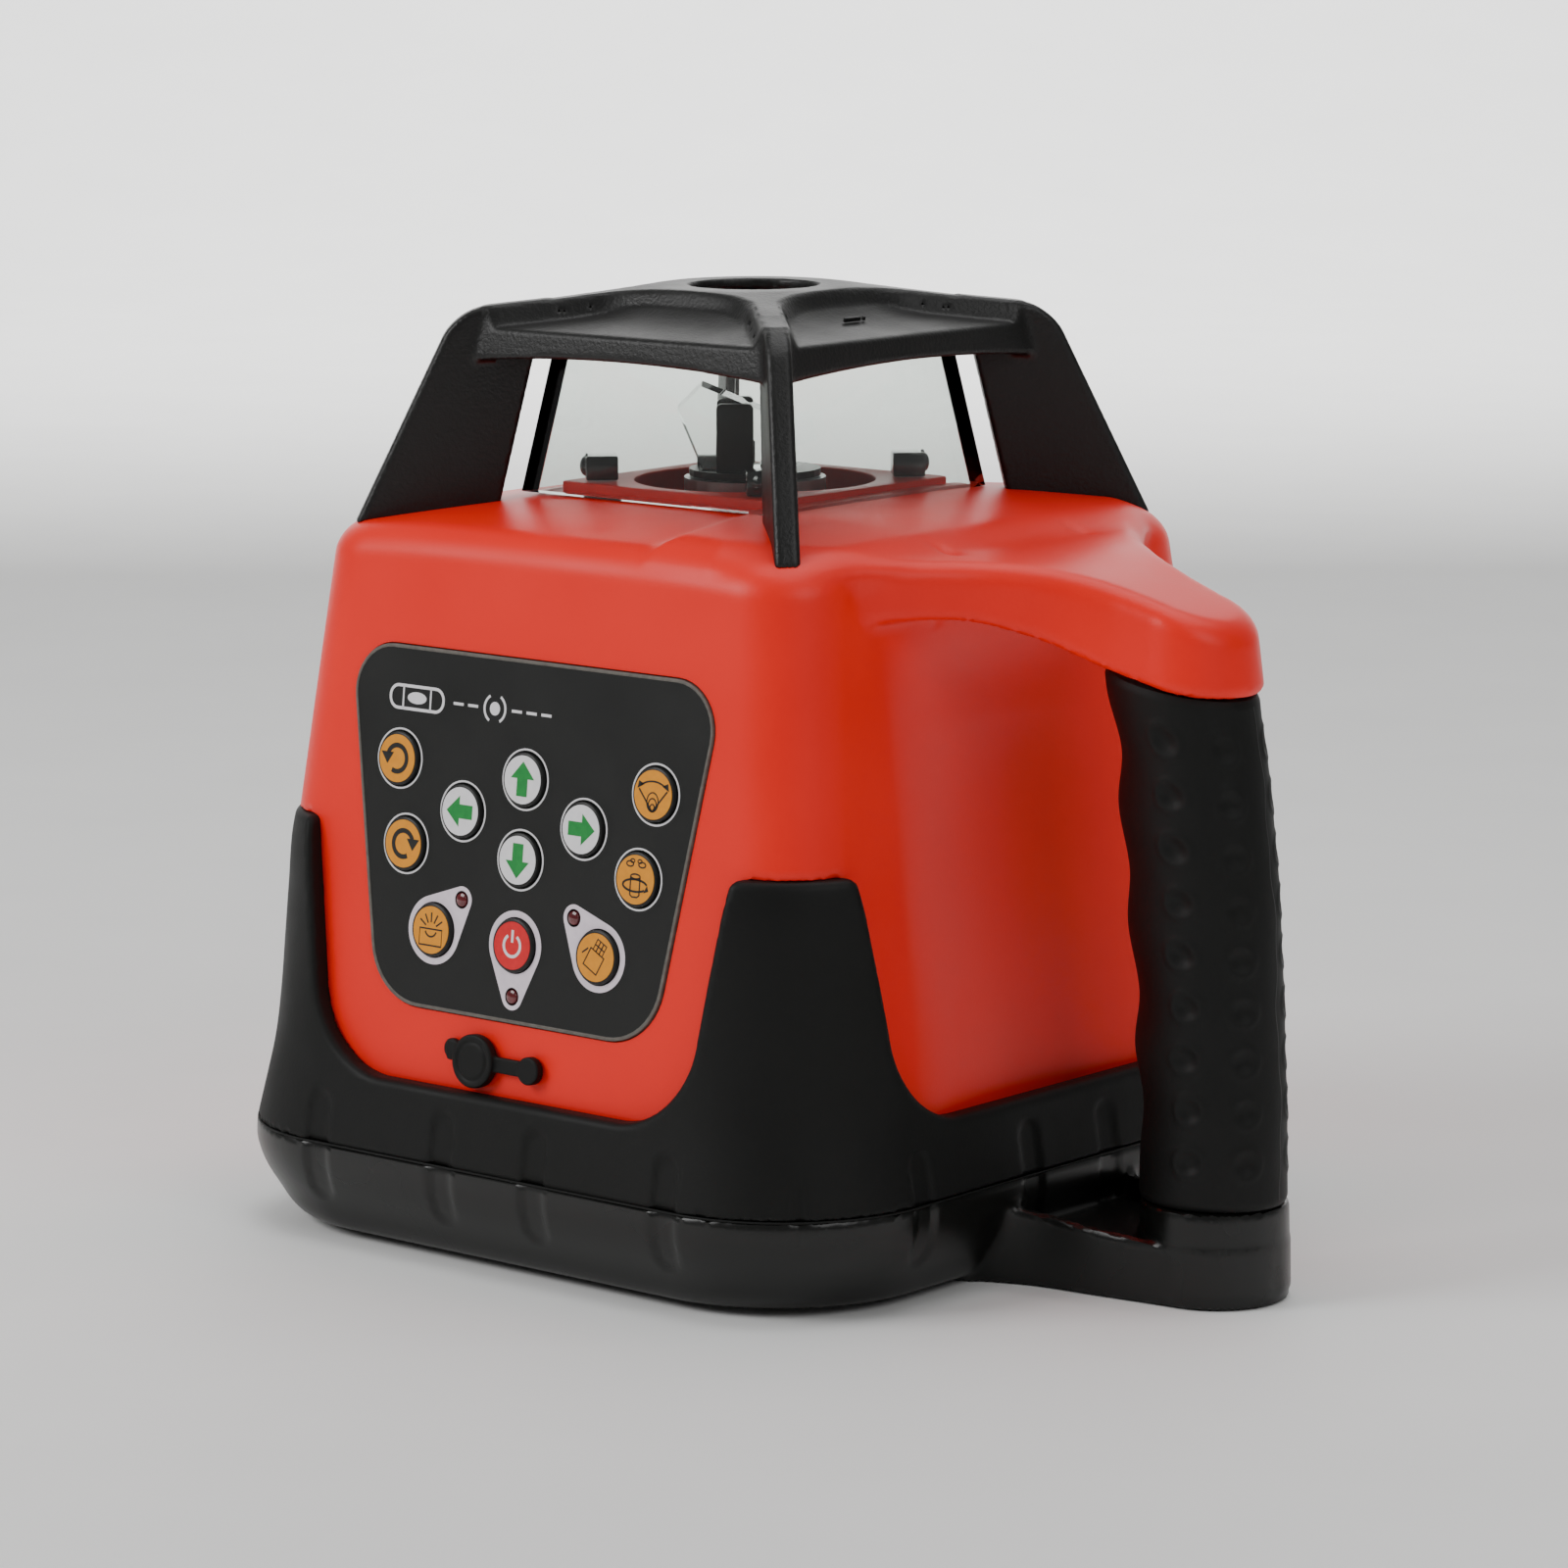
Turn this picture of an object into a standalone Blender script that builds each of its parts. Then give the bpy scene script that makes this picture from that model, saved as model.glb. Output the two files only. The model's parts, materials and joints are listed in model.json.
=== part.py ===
"""Rotating laser level: an orange housing on a rubber-booted base, with a glazed rotor head under a
black cage, a side handle, and a self-levelling laser core on a gimbal inside.  Metres, +Z up.

The object frame stands on the rest plane, midway between the handle's end and the far side of the
base.  Everything is built around the rotor's axis and shifted there by one empty."""

import math

import bmesh
import bpy
from mathutils import Matrix, Vector

# ---------------------------------------------------------------- driving dimensions
BASE_WIDTH = 0.160          # widest square of the base and boot
HANDLE_DEPTH = 0.048        # how far the handle's foot stands out from the base
FACE_INSET = 0.0029         # base's edge to a housing face carried down to the rest plane
FACE_DRAFT = 0.1076         # how far a face leans in for each metre of height
DECK_EDGE = 0.1355          # height where the walls start to round into the deck
HEAD_HEIGHT = 0.0495        # from the deck edge to the top of the cage
GAP = 0.0003                # between touching pieces
SLIP = 0.0005               # round pieces that move in a hole or past a wall

WALL = 0.0028
HOUSING_RADIUS = 0.015
DECK_HOLE_RADIUS = 0.0227
PLATFORM_HALF = 0.0265
PLATFORM_RISE = 0.0110      # platform top above the deck edge
SCOOP_HALF_WIDTH = 0.0385
SCOOP_DEPTH_LOW = 0.0034
SCOOP_DEPTH_HIGH = 0.0060
SCOOP_END_DROP = 0.0065      # deck edge down to the scoop's upper end

PAD_HEIGHT = 0.0012
PAD_RADIUS = 0.006
PAD_X = 0.052
PAD_Y = 0.056
BASE_BOTTOM = PAD_HEIGHT + GAP
BASE_TOP = 0.020
BASE_FLOOR = 0.0035
BASE_WALL = 0.0083
BOOT_TOP = 0.0825
BOOT_RADIUS = 0.032
VALLEY_HEIGHT = 0.0345
VALLEY_HALF = 0.0465
VALLEY_HALF_TOP = 0.0560
VALLEY_CORNER = 0.016

FOOT_HEIGHT = 0.012
COLLAR_RADIUS = 0.0140
COLLAR_TOP = 0.0185
GRIP_OUT = 0.0336           # base's edge to the grip's centre at its foot
GRIP_HALF_Y = 0.0130
GRIP_CORE_RADIUS = 0.0062
GRIP_CORE_LEAN = -0.0583    # X for each metre of height
RIPPLE_DEPTH = 0.0010
RIPPLE_PITCH = 0.0217
RIPPLE_CREST = 0.0925
GRIP_TOP_DROP = 0.0189      # deck edge down to the grip's top
GRIP_CORE_TOP_DROP = 0.0095

PACK_CELL = 0.0225          # diameter of one rechargeable cell
PACK_LENGTH = 0.086
BAY_CLEARANCE = 0.001
BAY_WALL = 0.0015
BAY_NEAR_X = -0.0170        # side of the bay next to the tripod insert
DOOR_LIP = 0.0025
DOOR_THICK = 0.0022

INSERT_BORE = 0.00794       # 5/8 in tripod thread, major radius
INSERT_RADIUS = 0.0120
INSERT_LENGTH = 0.0142
BOSS_WALL = 0.0017

PANEL_TOP_DROP = 0.0179      # deck edge down to the panel's top edge
PANEL_BOTTOM_Z = 0.0487
PANEL_DRAWN = 0.0689         # panel height the key and lamp heights are given for
PANEL_HALF_TOP = 0.0477
PANEL_HALF_BOTTOM = 0.0356
PANEL_RADIUS_TOP = 0.0095
PANEL_RADIUS_BOTTOM = 0.0130
PANEL_PROUD = 0.0004
PANEL_THICK = 0.0018
PANEL_WINDOW_INSET = 0.0042
BOARD_INSET = 0.0075         # from the panel's edge to the circuit board's
BOARD_THICK = 0.0016
KEY_RADIUS = 0.0052
KEY_PROUD = 0.0009
KEY_TRAVEL = 0.0005
LED_RADIUS = 0.0014

CAP_X = -0.0076
CAP_Z = 0.0404
CAP_RADIUS = 0.0052
CAP_THICK = 0.0025
CAP_HINGE_X = 0.0028
CAP_ANCHOR_X = 0.0066
CAP_ANCHOR_RADIUS = 0.0027
CAP_ANCHOR_TOP = 0.0022
CAP_TAB_RADIUS = 0.0020
CAP_TAB_REACH = 0.0063      # cap's centre to its pull tab's
STRAP_THICK = 0.0015
STRAP_HALF_WIDTH = 0.0015
HINGE_RISE = 0.0010         # cap's hinge axis above the housing face
HINGE_CLEAR = 0.0008        # hinge axis to the anchor's stub, so that the strap folds past it
SOCKET_RADIUS = 0.0040
SOCKET_BORE = 0.0028
SOCKET_DEPTH = 0.010

GLASS_RISE = 0.0092          # deck edge to the bottom of the glass
GLASS_HEIGHT = 0.0328
GLASS_HALF = 0.0325         # outer face at the bottom edge
GLASS_LEAN = 0.1640         # inward for each metre of height
GLASS_THICK = 0.0030
BLADE_THICK = 0.0048
ROOF_HOLE_RADIUS = 0.0127

PIVOT_Z = 0.095             # gimbal centre
CHASSIS_Z = 0.076
CHASSIS_THICK = 0.003
CHASSIS_HALF_X = 0.0590
CHASSIS_HALF_Y = 0.0555
CHASSIS_HOLE = 0.038
POST_RADIUS = 0.004
RING_INNER = 0.025
RING_OUTER = 0.031
RING_HALF_HEIGHT = 0.003
TRUNNION_RADIUS = 0.0025
LUG_X = 0.0365
LUG_THICK = 0.005
CORE_RADIUS = 0.012
CORE_BOTTOM = 0.058
CORE_BORE = 0.0075
SHELF_Z = 0.082
FLANGE_Z = 0.104
FLANGE_THICK = 0.004
FLANGE_RADIUS = 0.020
NECK_RADIUS = 0.009
NECK_TOP = 0.118
NECK_BORE = 0.006
BEARING_WIDTH = 0.0065
BEARING_OUTER = 0.0128
ROTOR_PULLEY_RADIUS = 0.0170
ROTOR_RISE = 0.0005         # rotor table above the deck's platform
ROTOR_TABLE_RADIUS = 0.013
MOTOR_OFFSET = 0.030        # in X and in Y from the rotor axis
MOTOR_RADIUS = 0.009
MOTOR_LENGTH = 0.0172
MOTOR_PULLEY_RADIUS = 0.0040
BELT_THICK = 0.0008
BELT_WIDTH = 0.0025
PULLEY_FLANGE = 0.0013

LEVER_REACH = 0.040         # rotor axis to each levelling screw
LEVER_Z = 0.066
LEVER_THICK = 0.003
LEVER_HALF_WIDTH = 0.003
LEVER_CLEARANCE = 0.0008
NUT_SIZE = 0.008
NUT_HEIGHT = 0.012
SCREW_RADIUS = 0.0015
LEVEL_MOTOR_RADIUS = 0.008
LEVEL_MOTOR_TOP = 0.040
SCREW_TOP = 0.0595
VIAL_RADIUS = 0.003
VIAL_LENGTH = 0.020
VIAL_OFFSET = 0.0155

PRISM_FACE = 0.0115         # entry face and exit face of the pentaprism
PRISM_EXIT = 0.0021         # rotor axis to the exit face
PRISM_ANGLE = math.radians(40.2)
CHEEK_THICK = 0.0020
CHEEK_LOW = -0.0065
CHEEK_HIGH = 0.0007
CHEEK_HEIGHT = 0.015        # rotor table to the top of the prism's cheeks

RECEIVER_OFFSET = 0.0207
RECEIVER_SIZE = 0.0063
RECEIVER_HEIGHT = 0.0050

SIDE = BASE_WIDTH / 2
AXIS_X = -HANDLE_DEPTH / 2
HANDLE_REACH = SIDE + HANDLE_DEPTH
FACE_AT_FLOOR = SIDE - FACE_INSET
CAGE_TOP = DECK_EDGE + HEAD_HEIGHT
GRIP_X = SIDE + GRIP_OUT
GRIP_TOP = DECK_EDGE - GRIP_TOP_DROP
PANEL_TOP_Z = DECK_EDGE - PANEL_TOP_DROP
GLASS_BOTTOM = DECK_EDGE + GLASS_RISE
GLASS_TOP = GLASS_BOTTOM + GLASS_HEIGHT
DRAFT_ANGLE = math.atan(FACE_DRAFT)
PLATFORM_TOP = DECK_EDGE + PLATFORM_RISE
ROTOR_TOP = PLATFORM_TOP + ROTOR_RISE
RECEIVER_TOP = PLATFORM_TOP + RECEIVER_HEIGHT
FLOOR_TOP = BASE_BOTTOM + BASE_FLOOR
KEYPAD_Z = (PANEL_TOP_Z + PANEL_BOTTOM_Z) / 2

ROUND = 28                  # sides of a large round piece
SMALL = 16                  # sides of a small one
CORNER_STEPS = 4            # segments in a quarter-round corner


# ---------------------------------------------------------------- scene and materials
for old in list(bpy.data.objects):
    bpy.data.objects.remove(old, do_unlink=True)

parts = bpy.data.collections.new("rotating_laser_level")
cutters = bpy.data.collections.new("cutters")
bpy.context.scene.collection.children.link(parts)
bpy.context.scene.collection.children.link(cutters)

frame = bpy.data.objects.new("rotor_axis_frame", None)
frame.location = (AXIS_X, 0, 0)
parts.objects.link(frame)


def face_half(z):
    """Rotor axis to a housing face at height z."""
    return FACE_AT_FLOOR - FACE_DRAFT * z


keypad_frame = bpy.data.objects.new("keypad_frame", None)
keypad_frame.parent = frame
keypad_frame.location = (0, -face_half(KEYPAD_Z), KEYPAD_Z)
keypad_frame.rotation_euler = (math.pi / 2 - DRAFT_ANGLE, 0, 0)
parts.objects.link(keypad_frame)


def face_v(z):
    """Height z on the front face, measured up the face from the keypad frame."""
    return (z - KEYPAD_Z) / math.cos(DRAFT_ANGLE)


def panel_v(z):
    """Distance up the keypad of a key's height, which spreads with the panel."""
    share = (z - PANEL_BOTTOM_Z) / PANEL_DRAWN
    return face_v(PANEL_BOTTOM_Z + share * (PANEL_TOP_Z - PANEL_BOTTOM_Z))


def material(name, colour, roughness, metallic=0.0):
    made = bpy.data.materials.new(name)
    made.use_nodes = True
    shader = made.node_tree.nodes["Principled BSDF"]
    shader.inputs["Base Color"].default_value = (*colour, 1.0)
    shader.inputs["Roughness"].default_value = roughness
    shader.inputs["Metallic"].default_value = metallic
    return made


ORANGE = material("orange_abs", (0.80, 0.06, 0.02), 0.45)
RUBBER = material("black_rubber", (0.020, 0.020, 0.021), 0.80)
BLACK = material("black_plastic", (0.015, 0.015, 0.016), 0.40)
PANEL = material("panel_black", (0.008, 0.008, 0.008), 0.25)
AMBER = material("key_amber", (0.72, 0.30, 0.02), 0.45)
GREEN = material("key_green", (0.01, 0.26, 0.05), 0.45)
WHITE = material("key_white", (0.75, 0.80, 0.80), 0.45)
RED = material("lamp_red", (0.10, 0.01, 0.01), 0.20)
GLASS = material("window_glass", (0.55, 0.60, 0.57), 0.02)
BRASS = material("brass", (0.60, 0.42, 0.15), 0.30, 1.0)
STEEL = material("steel", (0.50, 0.50, 0.51), 0.30, 1.0)
ALUMINIUM = material("aluminium", (0.60, 0.61, 0.63), 0.35, 1.0)
CIRCUIT = material("circuit_board", (0.01, 0.16, 0.06), 0.50)
WRAP = material("battery_wrap", (0.02, 0.06, 0.30), 0.40)


# ---------------------------------------------------------------- shape helpers
def add(name, mesh, finish, parent=frame, location=(0, 0, 0), rotation=(0, 0, 0)):
    """Makes a named part from a mesh, or a cutter where finish is None."""
    obj = bpy.data.objects.new(name, mesh)
    obj.parent = parent
    obj.location = location
    obj.rotation_euler = rotation
    if finish is None:
        cutters.objects.link(obj)
        obj.hide_render = True
        obj.display_type = "WIRE"
    else:
        parts.objects.link(obj)
        mesh.materials.append(finish)
    return obj


def mesh_from(bm, name, smooth=True):
    bmesh.ops.recalc_face_normals(bm, faces=bm.faces)
    mesh = bpy.data.meshes.new(name)
    bm.to_mesh(mesh)
    bm.free()
    if smooth:
        mesh.shade_smooth()
        mesh.set_sharp_from_angle(angle=math.radians(35))
    return mesh


def block(name, low, high, bevel=0.0, steps=2):
    """A box from its lowest to its highest corner."""
    low = Vector(low)
    high = Vector(high)
    bm = bmesh.new()
    bmesh.ops.create_cube(bm, size=1.0)
    bmesh.ops.scale(bm, vec=high - low, verts=bm.verts)
    bmesh.ops.translate(bm, vec=(low + high) / 2, verts=bm.verts)
    if bevel:
        bmesh.ops.bevel(bm, geom=bm.edges[:], offset=bevel, segments=steps, affect="EDGES", profile=0.5)
    return mesh_from(bm, name)


def rod(name, radius, start, end, sides=SMALL, bevel=0.0):
    """A round bar between two points."""
    start = Vector(start)
    end = Vector(end)
    bm = bmesh.new()
    bmesh.ops.create_cone(
        bm, segments=sides, radius1=radius, radius2=radius, depth=(end - start).length, cap_ends=True
    )
    if bevel:
        rims = [e for e in bm.edges if abs(e.verts[0].co.z - e.verts[1].co.z) < radius * 0.01]
        bmesh.ops.bevel(bm, geom=rims, offset=bevel, segments=1, affect="EDGES", profile=0.5)
    turn = (end - start).to_track_quat("Z", "Y").to_matrix().to_4x4()
    bmesh.ops.transform(bm, matrix=Matrix.Translation((start + end) / 2) @ turn, verts=bm.verts)
    return mesh_from(bm, name)


def loft(name, rings):
    """A closed solid through rings of equal point counts, capped at both ends."""
    bm = bmesh.new()
    levels = [[bm.verts.new(point) for point in ring] for ring in rings]
    for lower, upper in zip(levels, levels[1:]):
        for i, vertex in enumerate(lower):
            j = (i + 1) % len(lower)
            bm.faces.new((vertex, lower[j], upper[j], upper[i]))
    bm.faces.new(levels[0][::-1])
    bm.faces.new(levels[-1])
    return mesh_from(bm, name)


def square_ring(half, radius, z, steps=CORNER_STEPS):
    """A square with round corners, at height z."""
    points = []
    for quarter in range(4):
        middle = quarter * math.pi / 2 + math.pi / 4
        centre = Vector((math.cos(middle), math.sin(middle))) * (half - radius) * math.sqrt(2)
        for step in range(steps + 1):
            angle = quarter * math.pi / 2 + step / steps * math.pi / 2
            points.append((centre.x + radius * math.cos(angle), centre.y + radius * math.sin(angle), z))
    return points


def rounded(corners, steps=CORNER_STEPS):
    """A 2D outline from corners (x, y, radius), each one rounded by its radius."""
    outline = []
    for i, (x, y, radius) in enumerate(corners):
        here = Vector((x, y))
        if not radius:
            outline.append(here)
            continue
        back = (Vector(corners[i - 1][:2]) - here).normalized()
        ahead = (Vector(corners[(i + 1) % len(corners)][:2]) - here).normalized()
        half_angle = back.angle(ahead) / 2
        centre = here + (back + ahead).normalized() * radius / math.sin(half_angle)
        start = here + back * radius / math.tan(half_angle) - centre
        end = here + ahead * radius / math.tan(half_angle) - centre
        sweep = start.angle_signed(end)
        for step in range(steps + 1):
            angle = -sweep * step / steps
            outline.append(centre + Matrix.Rotation(angle, 2) @ start)
    return outline


def circle_points(radius, sides=SMALL, centre=(0, 0)):
    return [
        Vector((centre[0] + radius * math.cos(a), centre[1] + radius * math.sin(a)))
        for a in (2 * math.pi * i / sides for i in range(sides))
    ]


def plate(name, outlines, low, high):
    """Flat outlines, the first one solid and the others holes, from height low to height high."""
    curve = bpy.data.curves.new(name, "CURVE")
    curve.dimensions = "2D"
    curve.fill_mode = "BOTH"
    curve.extrude = (high - low) / 2
    for outline in outlines:
        spline = curve.splines.new("POLY")
        spline.points.add(len(outline) - 1)
        for point, (x, y) in zip(spline.points, outline):
            point.co = (x, y, 0, 1)
        spline.use_cyclic_u = True
    drawn = bpy.data.objects.new(name, curve)
    bpy.context.scene.collection.objects.link(drawn)
    graph = bpy.context.evaluated_depsgraph_get()
    filled = bpy.data.meshes.new_from_object(drawn.evaluated_get(graph))
    bpy.data.objects.remove(drawn)
    bm = bmesh.new()
    bm.from_mesh(filled)
    bmesh.ops.remove_doubles(bm, verts=bm.verts, dist=1e-6)
    bmesh.ops.translate(bm, vec=(0, 0, (low + high) / 2), verts=bm.verts)
    bpy.data.meshes.remove(filled)
    return mesh_from(bm, name, smooth=False)


def turned(name, profile, finish, parent=frame, location=(0, 0, 0), closed=True, sides=ROUND):
    """A turned piece: profile points (radius, z) run down the outer side and, if closed, up the bore."""
    mesh = bpy.data.meshes.new(name)
    edges = [(i, i + 1) for i in range(len(profile) - 1)]
    if closed:
        edges.append((len(profile) - 1, 0))
    mesh.from_pydata([(radius, 0, z) for radius, z in profile], edges, [])
    obj = add(name, mesh, finish, parent, location)
    screw = obj.modifiers.new("turn", "SCREW")
    screw.steps = sides
    screw.render_steps = sides
    screw.use_merge_vertices = True
    screw.merge_threshold = 1e-6
    screw.use_smooth_shade = True
    return obj


def boolean(obj, other, operation):
    """Adds a live Boolean; a joined or cutting piece stays in the cutters' collection."""
    step = obj.modifiers.new(other.name, "BOOLEAN")
    step.operation = operation
    step.solver = "EXACT"
    step.object = other
    return obj


def cut(obj, *others):
    for other in others:
        boolean(obj, other, "DIFFERENCE")


def join(obj, *others):
    for other in others:
        boolean(obj, other, "UNION")


def tool(name, mesh, parent=frame, location=(0, 0, 0), rotation=(0, 0, 0)):
    return add(name, mesh, None, parent, location, rotation)


# ---------------------------------------------------------------- base and boot
def base_rings():
    """The base's outer rings, bulging to its full width just under the parting line."""
    shape = ((BASE_BOTTOM, 0.0062), (0.007, 0.0031), (0.012, 0.0010), (0.017, 0.0), (BASE_TOP, 0.0001))
    return [square_ring(SIDE - inset, BOOT_RADIUS + inset * 0.3, z) for z, inset in shape]


def foot_outline():
    half_root = 0.0270
    side = ((-0.0200, half_root, 0), (-0.0102, 0.0249, 0.010), (0.0025, 0.0184, 0.010),
            (0.0190, 0.0171, 0.020), (HANDLE_DEPTH, 0.0140, 0.010))
    near = [(SIDE + out, -y, r) for out, y, r in side]
    far = [(SIDE + out, y, r) for out, y, r in reversed(side)]
    return rounded(near + far)


def grip_core_ends(low, high):
    """Points on the grip core's leaning axis at two heights."""
    return [(GRIP_X + GRIP_CORE_LEAN * (z - BASE_TOP), 0, z) for z in (low, high)]


CORE_LOW = 0.006
CORE_HIGH = DECK_EDGE - GRIP_CORE_TOP_DROP
BAY_FAR_X = BAY_NEAR_X - 2 * PACK_CELL - 2 * BAY_CLEARANCE
BAY_HALF_Y = PACK_LENGTH / 2 + BAY_CLEARANCE
DOOR_TOP = BASE_BOTTOM + DOOR_THICK
BAY_FLOOR = DOOR_TOP + GAP
BAY_TOP = BAY_FLOOR + PACK_CELL + 2 * BAY_CLEARANCE
DOOR_AXIS_X = BAY_FAR_X - DOOR_LIP + DOOR_THICK / 2
DOOR_AXIS_Z = BASE_BOTTOM + DOOR_THICK / 2


def build_base():
    base = add("base_shell", loft("base_shell", base_rings()), BLACK)
    foot = plate("foot", [foot_outline()], 0, FOOT_HEIGHT)
    collar = rod("collar", COLLAR_RADIUS, (GRIP_X, 0, FOOT_HEIGHT / 2), (GRIP_X, 0, COLLAR_TOP), ROUND)
    cavity_half = SIDE - BASE_WALL
    over = BASE_TOP + 0.01
    hollow = loft("hollow", [square_ring(cavity_half, 0.026, z) for z in (FLOOR_TOP, over)])
    cut(base, tool("base_hollow", hollow))
    join(base, tool("handle_foot", foot), tool("grip_collar", collar))
    bay = block(
        "bay", (BAY_FAR_X - BAY_WALL, -BAY_HALF_Y - BAY_WALL, FLOOR_TOP - 0.001),
        (BAY_NEAR_X + BAY_WALL, BAY_HALF_Y + BAY_WALL, BAY_TOP + BAY_WALL),
    )
    boss_radius = INSERT_RADIUS + GAP + BOSS_WALL
    insert_top = BASE_BOTTOM + GAP + INSERT_LENGTH
    boss = rod("boss", boss_radius, (0, 0, FLOOR_TOP - 0.001), (0, 0, insert_top + GAP + BOSS_WALL), ROUND)
    join(base, tool("battery_bay", bay), tool("tripod_boss", boss))
    below = BASE_BOTTOM - 0.005
    inside = block("inside", (BAY_FAR_X, -BAY_HALF_Y, below), (BAY_NEAR_X, BAY_HALF_Y, BAY_TOP))
    rim = DOOR_LIP + SLIP
    doorway = block(
        "doorway", (BAY_FAR_X - rim, -BAY_HALF_Y - rim, below),
        (BAY_NEAR_X + rim, BAY_HALF_Y + rim, BAY_FLOOR)
    )
    socket = rod("socket", INSERT_RADIUS + GAP, (0, 0, below), (0, 0, insert_top + GAP), ROUND)
    start, end = grip_core_ends(CORE_LOW - GAP, CORE_HIGH)
    core_hole = rod("core_hole", GRIP_CORE_RADIUS + GAP, start, end, ROUND)
    cut(base, tool("bay_inside", inside), tool("bay_doorway", doorway))
    cut(base, tool("insert_socket", socket), tool("grip_core_foot_hole", core_hole))


def build_boot():
    shape = ((0.112, 0.0013), (0.272, 0.0029), (0.432, 0.0038), (0.752, 0.0050), (0.944, 0.0058), (1.0, 0.0070))
    heights = [(BASE_TOP + GAP, 0.0003)]
    heights += [(BASE_TOP + share * (BOOT_TOP - BASE_TOP), inset) for share, inset in shape]
    skin = loft("rubber_boot", [square_ring(SIDE - inset, BOOT_RADIUS, z) for z, inset in heights])
    boot = add("rubber_boot", skin, RUBBER)
    inner = loft("inner", [
        square_ring(face_half(z) + 0.0001, BOOT_RADIUS - 0.004, z)
        for z in (BASE_TOP - 0.005, BOOT_TOP + 0.005)
    ])
    cut(boot, tool("boot_inside", inner))
    for name, turn in (("boot_valley_y", 0), ("boot_valley_x", math.pi / 2)):
        cut(boot, valley_prism(name, turn, 0.0))


def valley_prism(name, turn, inset):
    """The gap between two corner fangs, carried through both opposite sides."""
    outline = rounded([
        (VALLEY_HALF_TOP - inset, BOOT_TOP + 0.0125, 0), (-VALLEY_HALF_TOP + inset, BOOT_TOP + 0.0125, 0),
        (-VALLEY_HALF + inset, VALLEY_HEIGHT + inset, VALLEY_CORNER),
        (VALLEY_HALF - inset, VALLEY_HEIGHT + inset, VALLEY_CORNER),
    ])
    prism = plate(name, [outline], -BASE_WIDTH, BASE_WIDTH)
    return tool(name, prism, rotation=(math.pi / 2, 0, turn))


def build_feet_and_insert():
    for number, (sx, sy) in enumerate(((1, -1), (1, 1), (-1, 1), (-1, -1)), 1):
        pad = rod("foot_pad", PAD_RADIUS, (0, 0, 0), (0, 0, PAD_HEIGHT))
        add(f"foot_pad_{number}", pad, RUBBER, location=(sx * PAD_X, sy * PAD_Y, 0))
    low = BASE_BOTTOM + GAP
    high = low + INSERT_LENGTH
    profile = [(INSERT_RADIUS, high), (INSERT_RADIUS, low), (INSERT_BORE, low), (INSERT_BORE, high)]
    turned("tripod_insert", profile, BRASS)


def build_battery():
    half_cell = PACK_CELL / 2
    outline = rounded([(x, z, half_cell * 0.98) for x, z in (
        (-PACK_CELL, -half_cell), (PACK_CELL, -half_cell), (PACK_CELL, half_cell), (-PACK_CELL, half_cell))])
    pack = plate("battery_pack", [outline], -PACK_LENGTH / 2, PACK_LENGTH / 2)
    middle = ((BAY_NEAR_X + BAY_FAR_X) / 2, 0, BAY_FLOOR + BAY_CLEARANCE + half_cell)
    add("battery_pack", pack, WRAP, location=middle, rotation=(math.pi / 2, 0, 0))
    span = BAY_NEAR_X + DOOR_LIP - DOOR_AXIS_X
    half_y = BAY_HALF_Y + DOOR_LIP
    r = DOOR_THICK / 2
    outline = rounded([(-r, -r, r * 0.98), (span, -r, 0), (span, r, 0), (-r, r, r * 0.98)])
    door = plate("battery_door", [outline], -half_y, half_y)
    add("battery_door", door, BLACK, location=(DOOR_AXIS_X, 0, DOOR_AXIS_Z), rotation=(math.pi / 2, 0, 0))


# ---------------------------------------------------------------- housing, arm and grip
def housing_rings(clear=0.0):
    """The walls and the domed deck, or the same raised and widened by a clearance."""
    edge = face_half(DECK_EDGE)
    shape = [(BASE_TOP + GAP, face_half(BASE_TOP + GAP), HOUSING_RADIUS), (DECK_EDGE, edge, HOUSING_RADIUS)]
    for rise, inset, radius in ((0.0030, 0.0010, 0.0145), (0.0047, 0.0029, 0.0140), (0.0054, 0.0058, 0.0120),
                                (0.0073, 0.0186, 0.0100), (0.0089, 0.0296, 0.0080)):
        shape.append((DECK_EDGE + rise, edge - inset, radius))
    return [square_ring(half + clear, radius + clear, z + clear) for z, half, radius in shape]


def cavity_rings():
    """The inside of the housing, one wall in, with wider corners behind the boot's fangs."""
    edge = face_half(DECK_EDGE)
    behind_boot = BOOT_RADIUS - 0.005
    clear = 0.020
    shape = [(BASE_TOP - 0.002, behind_boot), (BOOT_TOP + 0.0015, behind_boot), (BOOT_TOP + 0.0055, clear),
             (DECK_EDGE - WALL, clear)]
    rings = [square_ring(face_half(z) - WALL, radius, z) for z, radius in shape]
    for rise, inset in ((0.0019, 0.0085), (0.0041, 0.0214), (0.0060, 0.0330)):
        rings.append(square_ring(edge - inset, clear, DECK_EDGE + rise))
    return rings


def arm_section(x, half_width, low, high, sides=24):
    """A squarish oval across the arm."""
    power = 0.62
    ring = []
    for i in range(sides):
        angle = 2 * math.pi * i / sides
        c = math.cos(angle)
        s = math.sin(angle)
        y = half_width * math.copysign(abs(c) ** power, c)
        z = (low + high) / 2 + (high - low) / 2 * math.copysign(abs(s) ** power, s)
        ring.append((x, y, z))
    return ring


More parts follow.
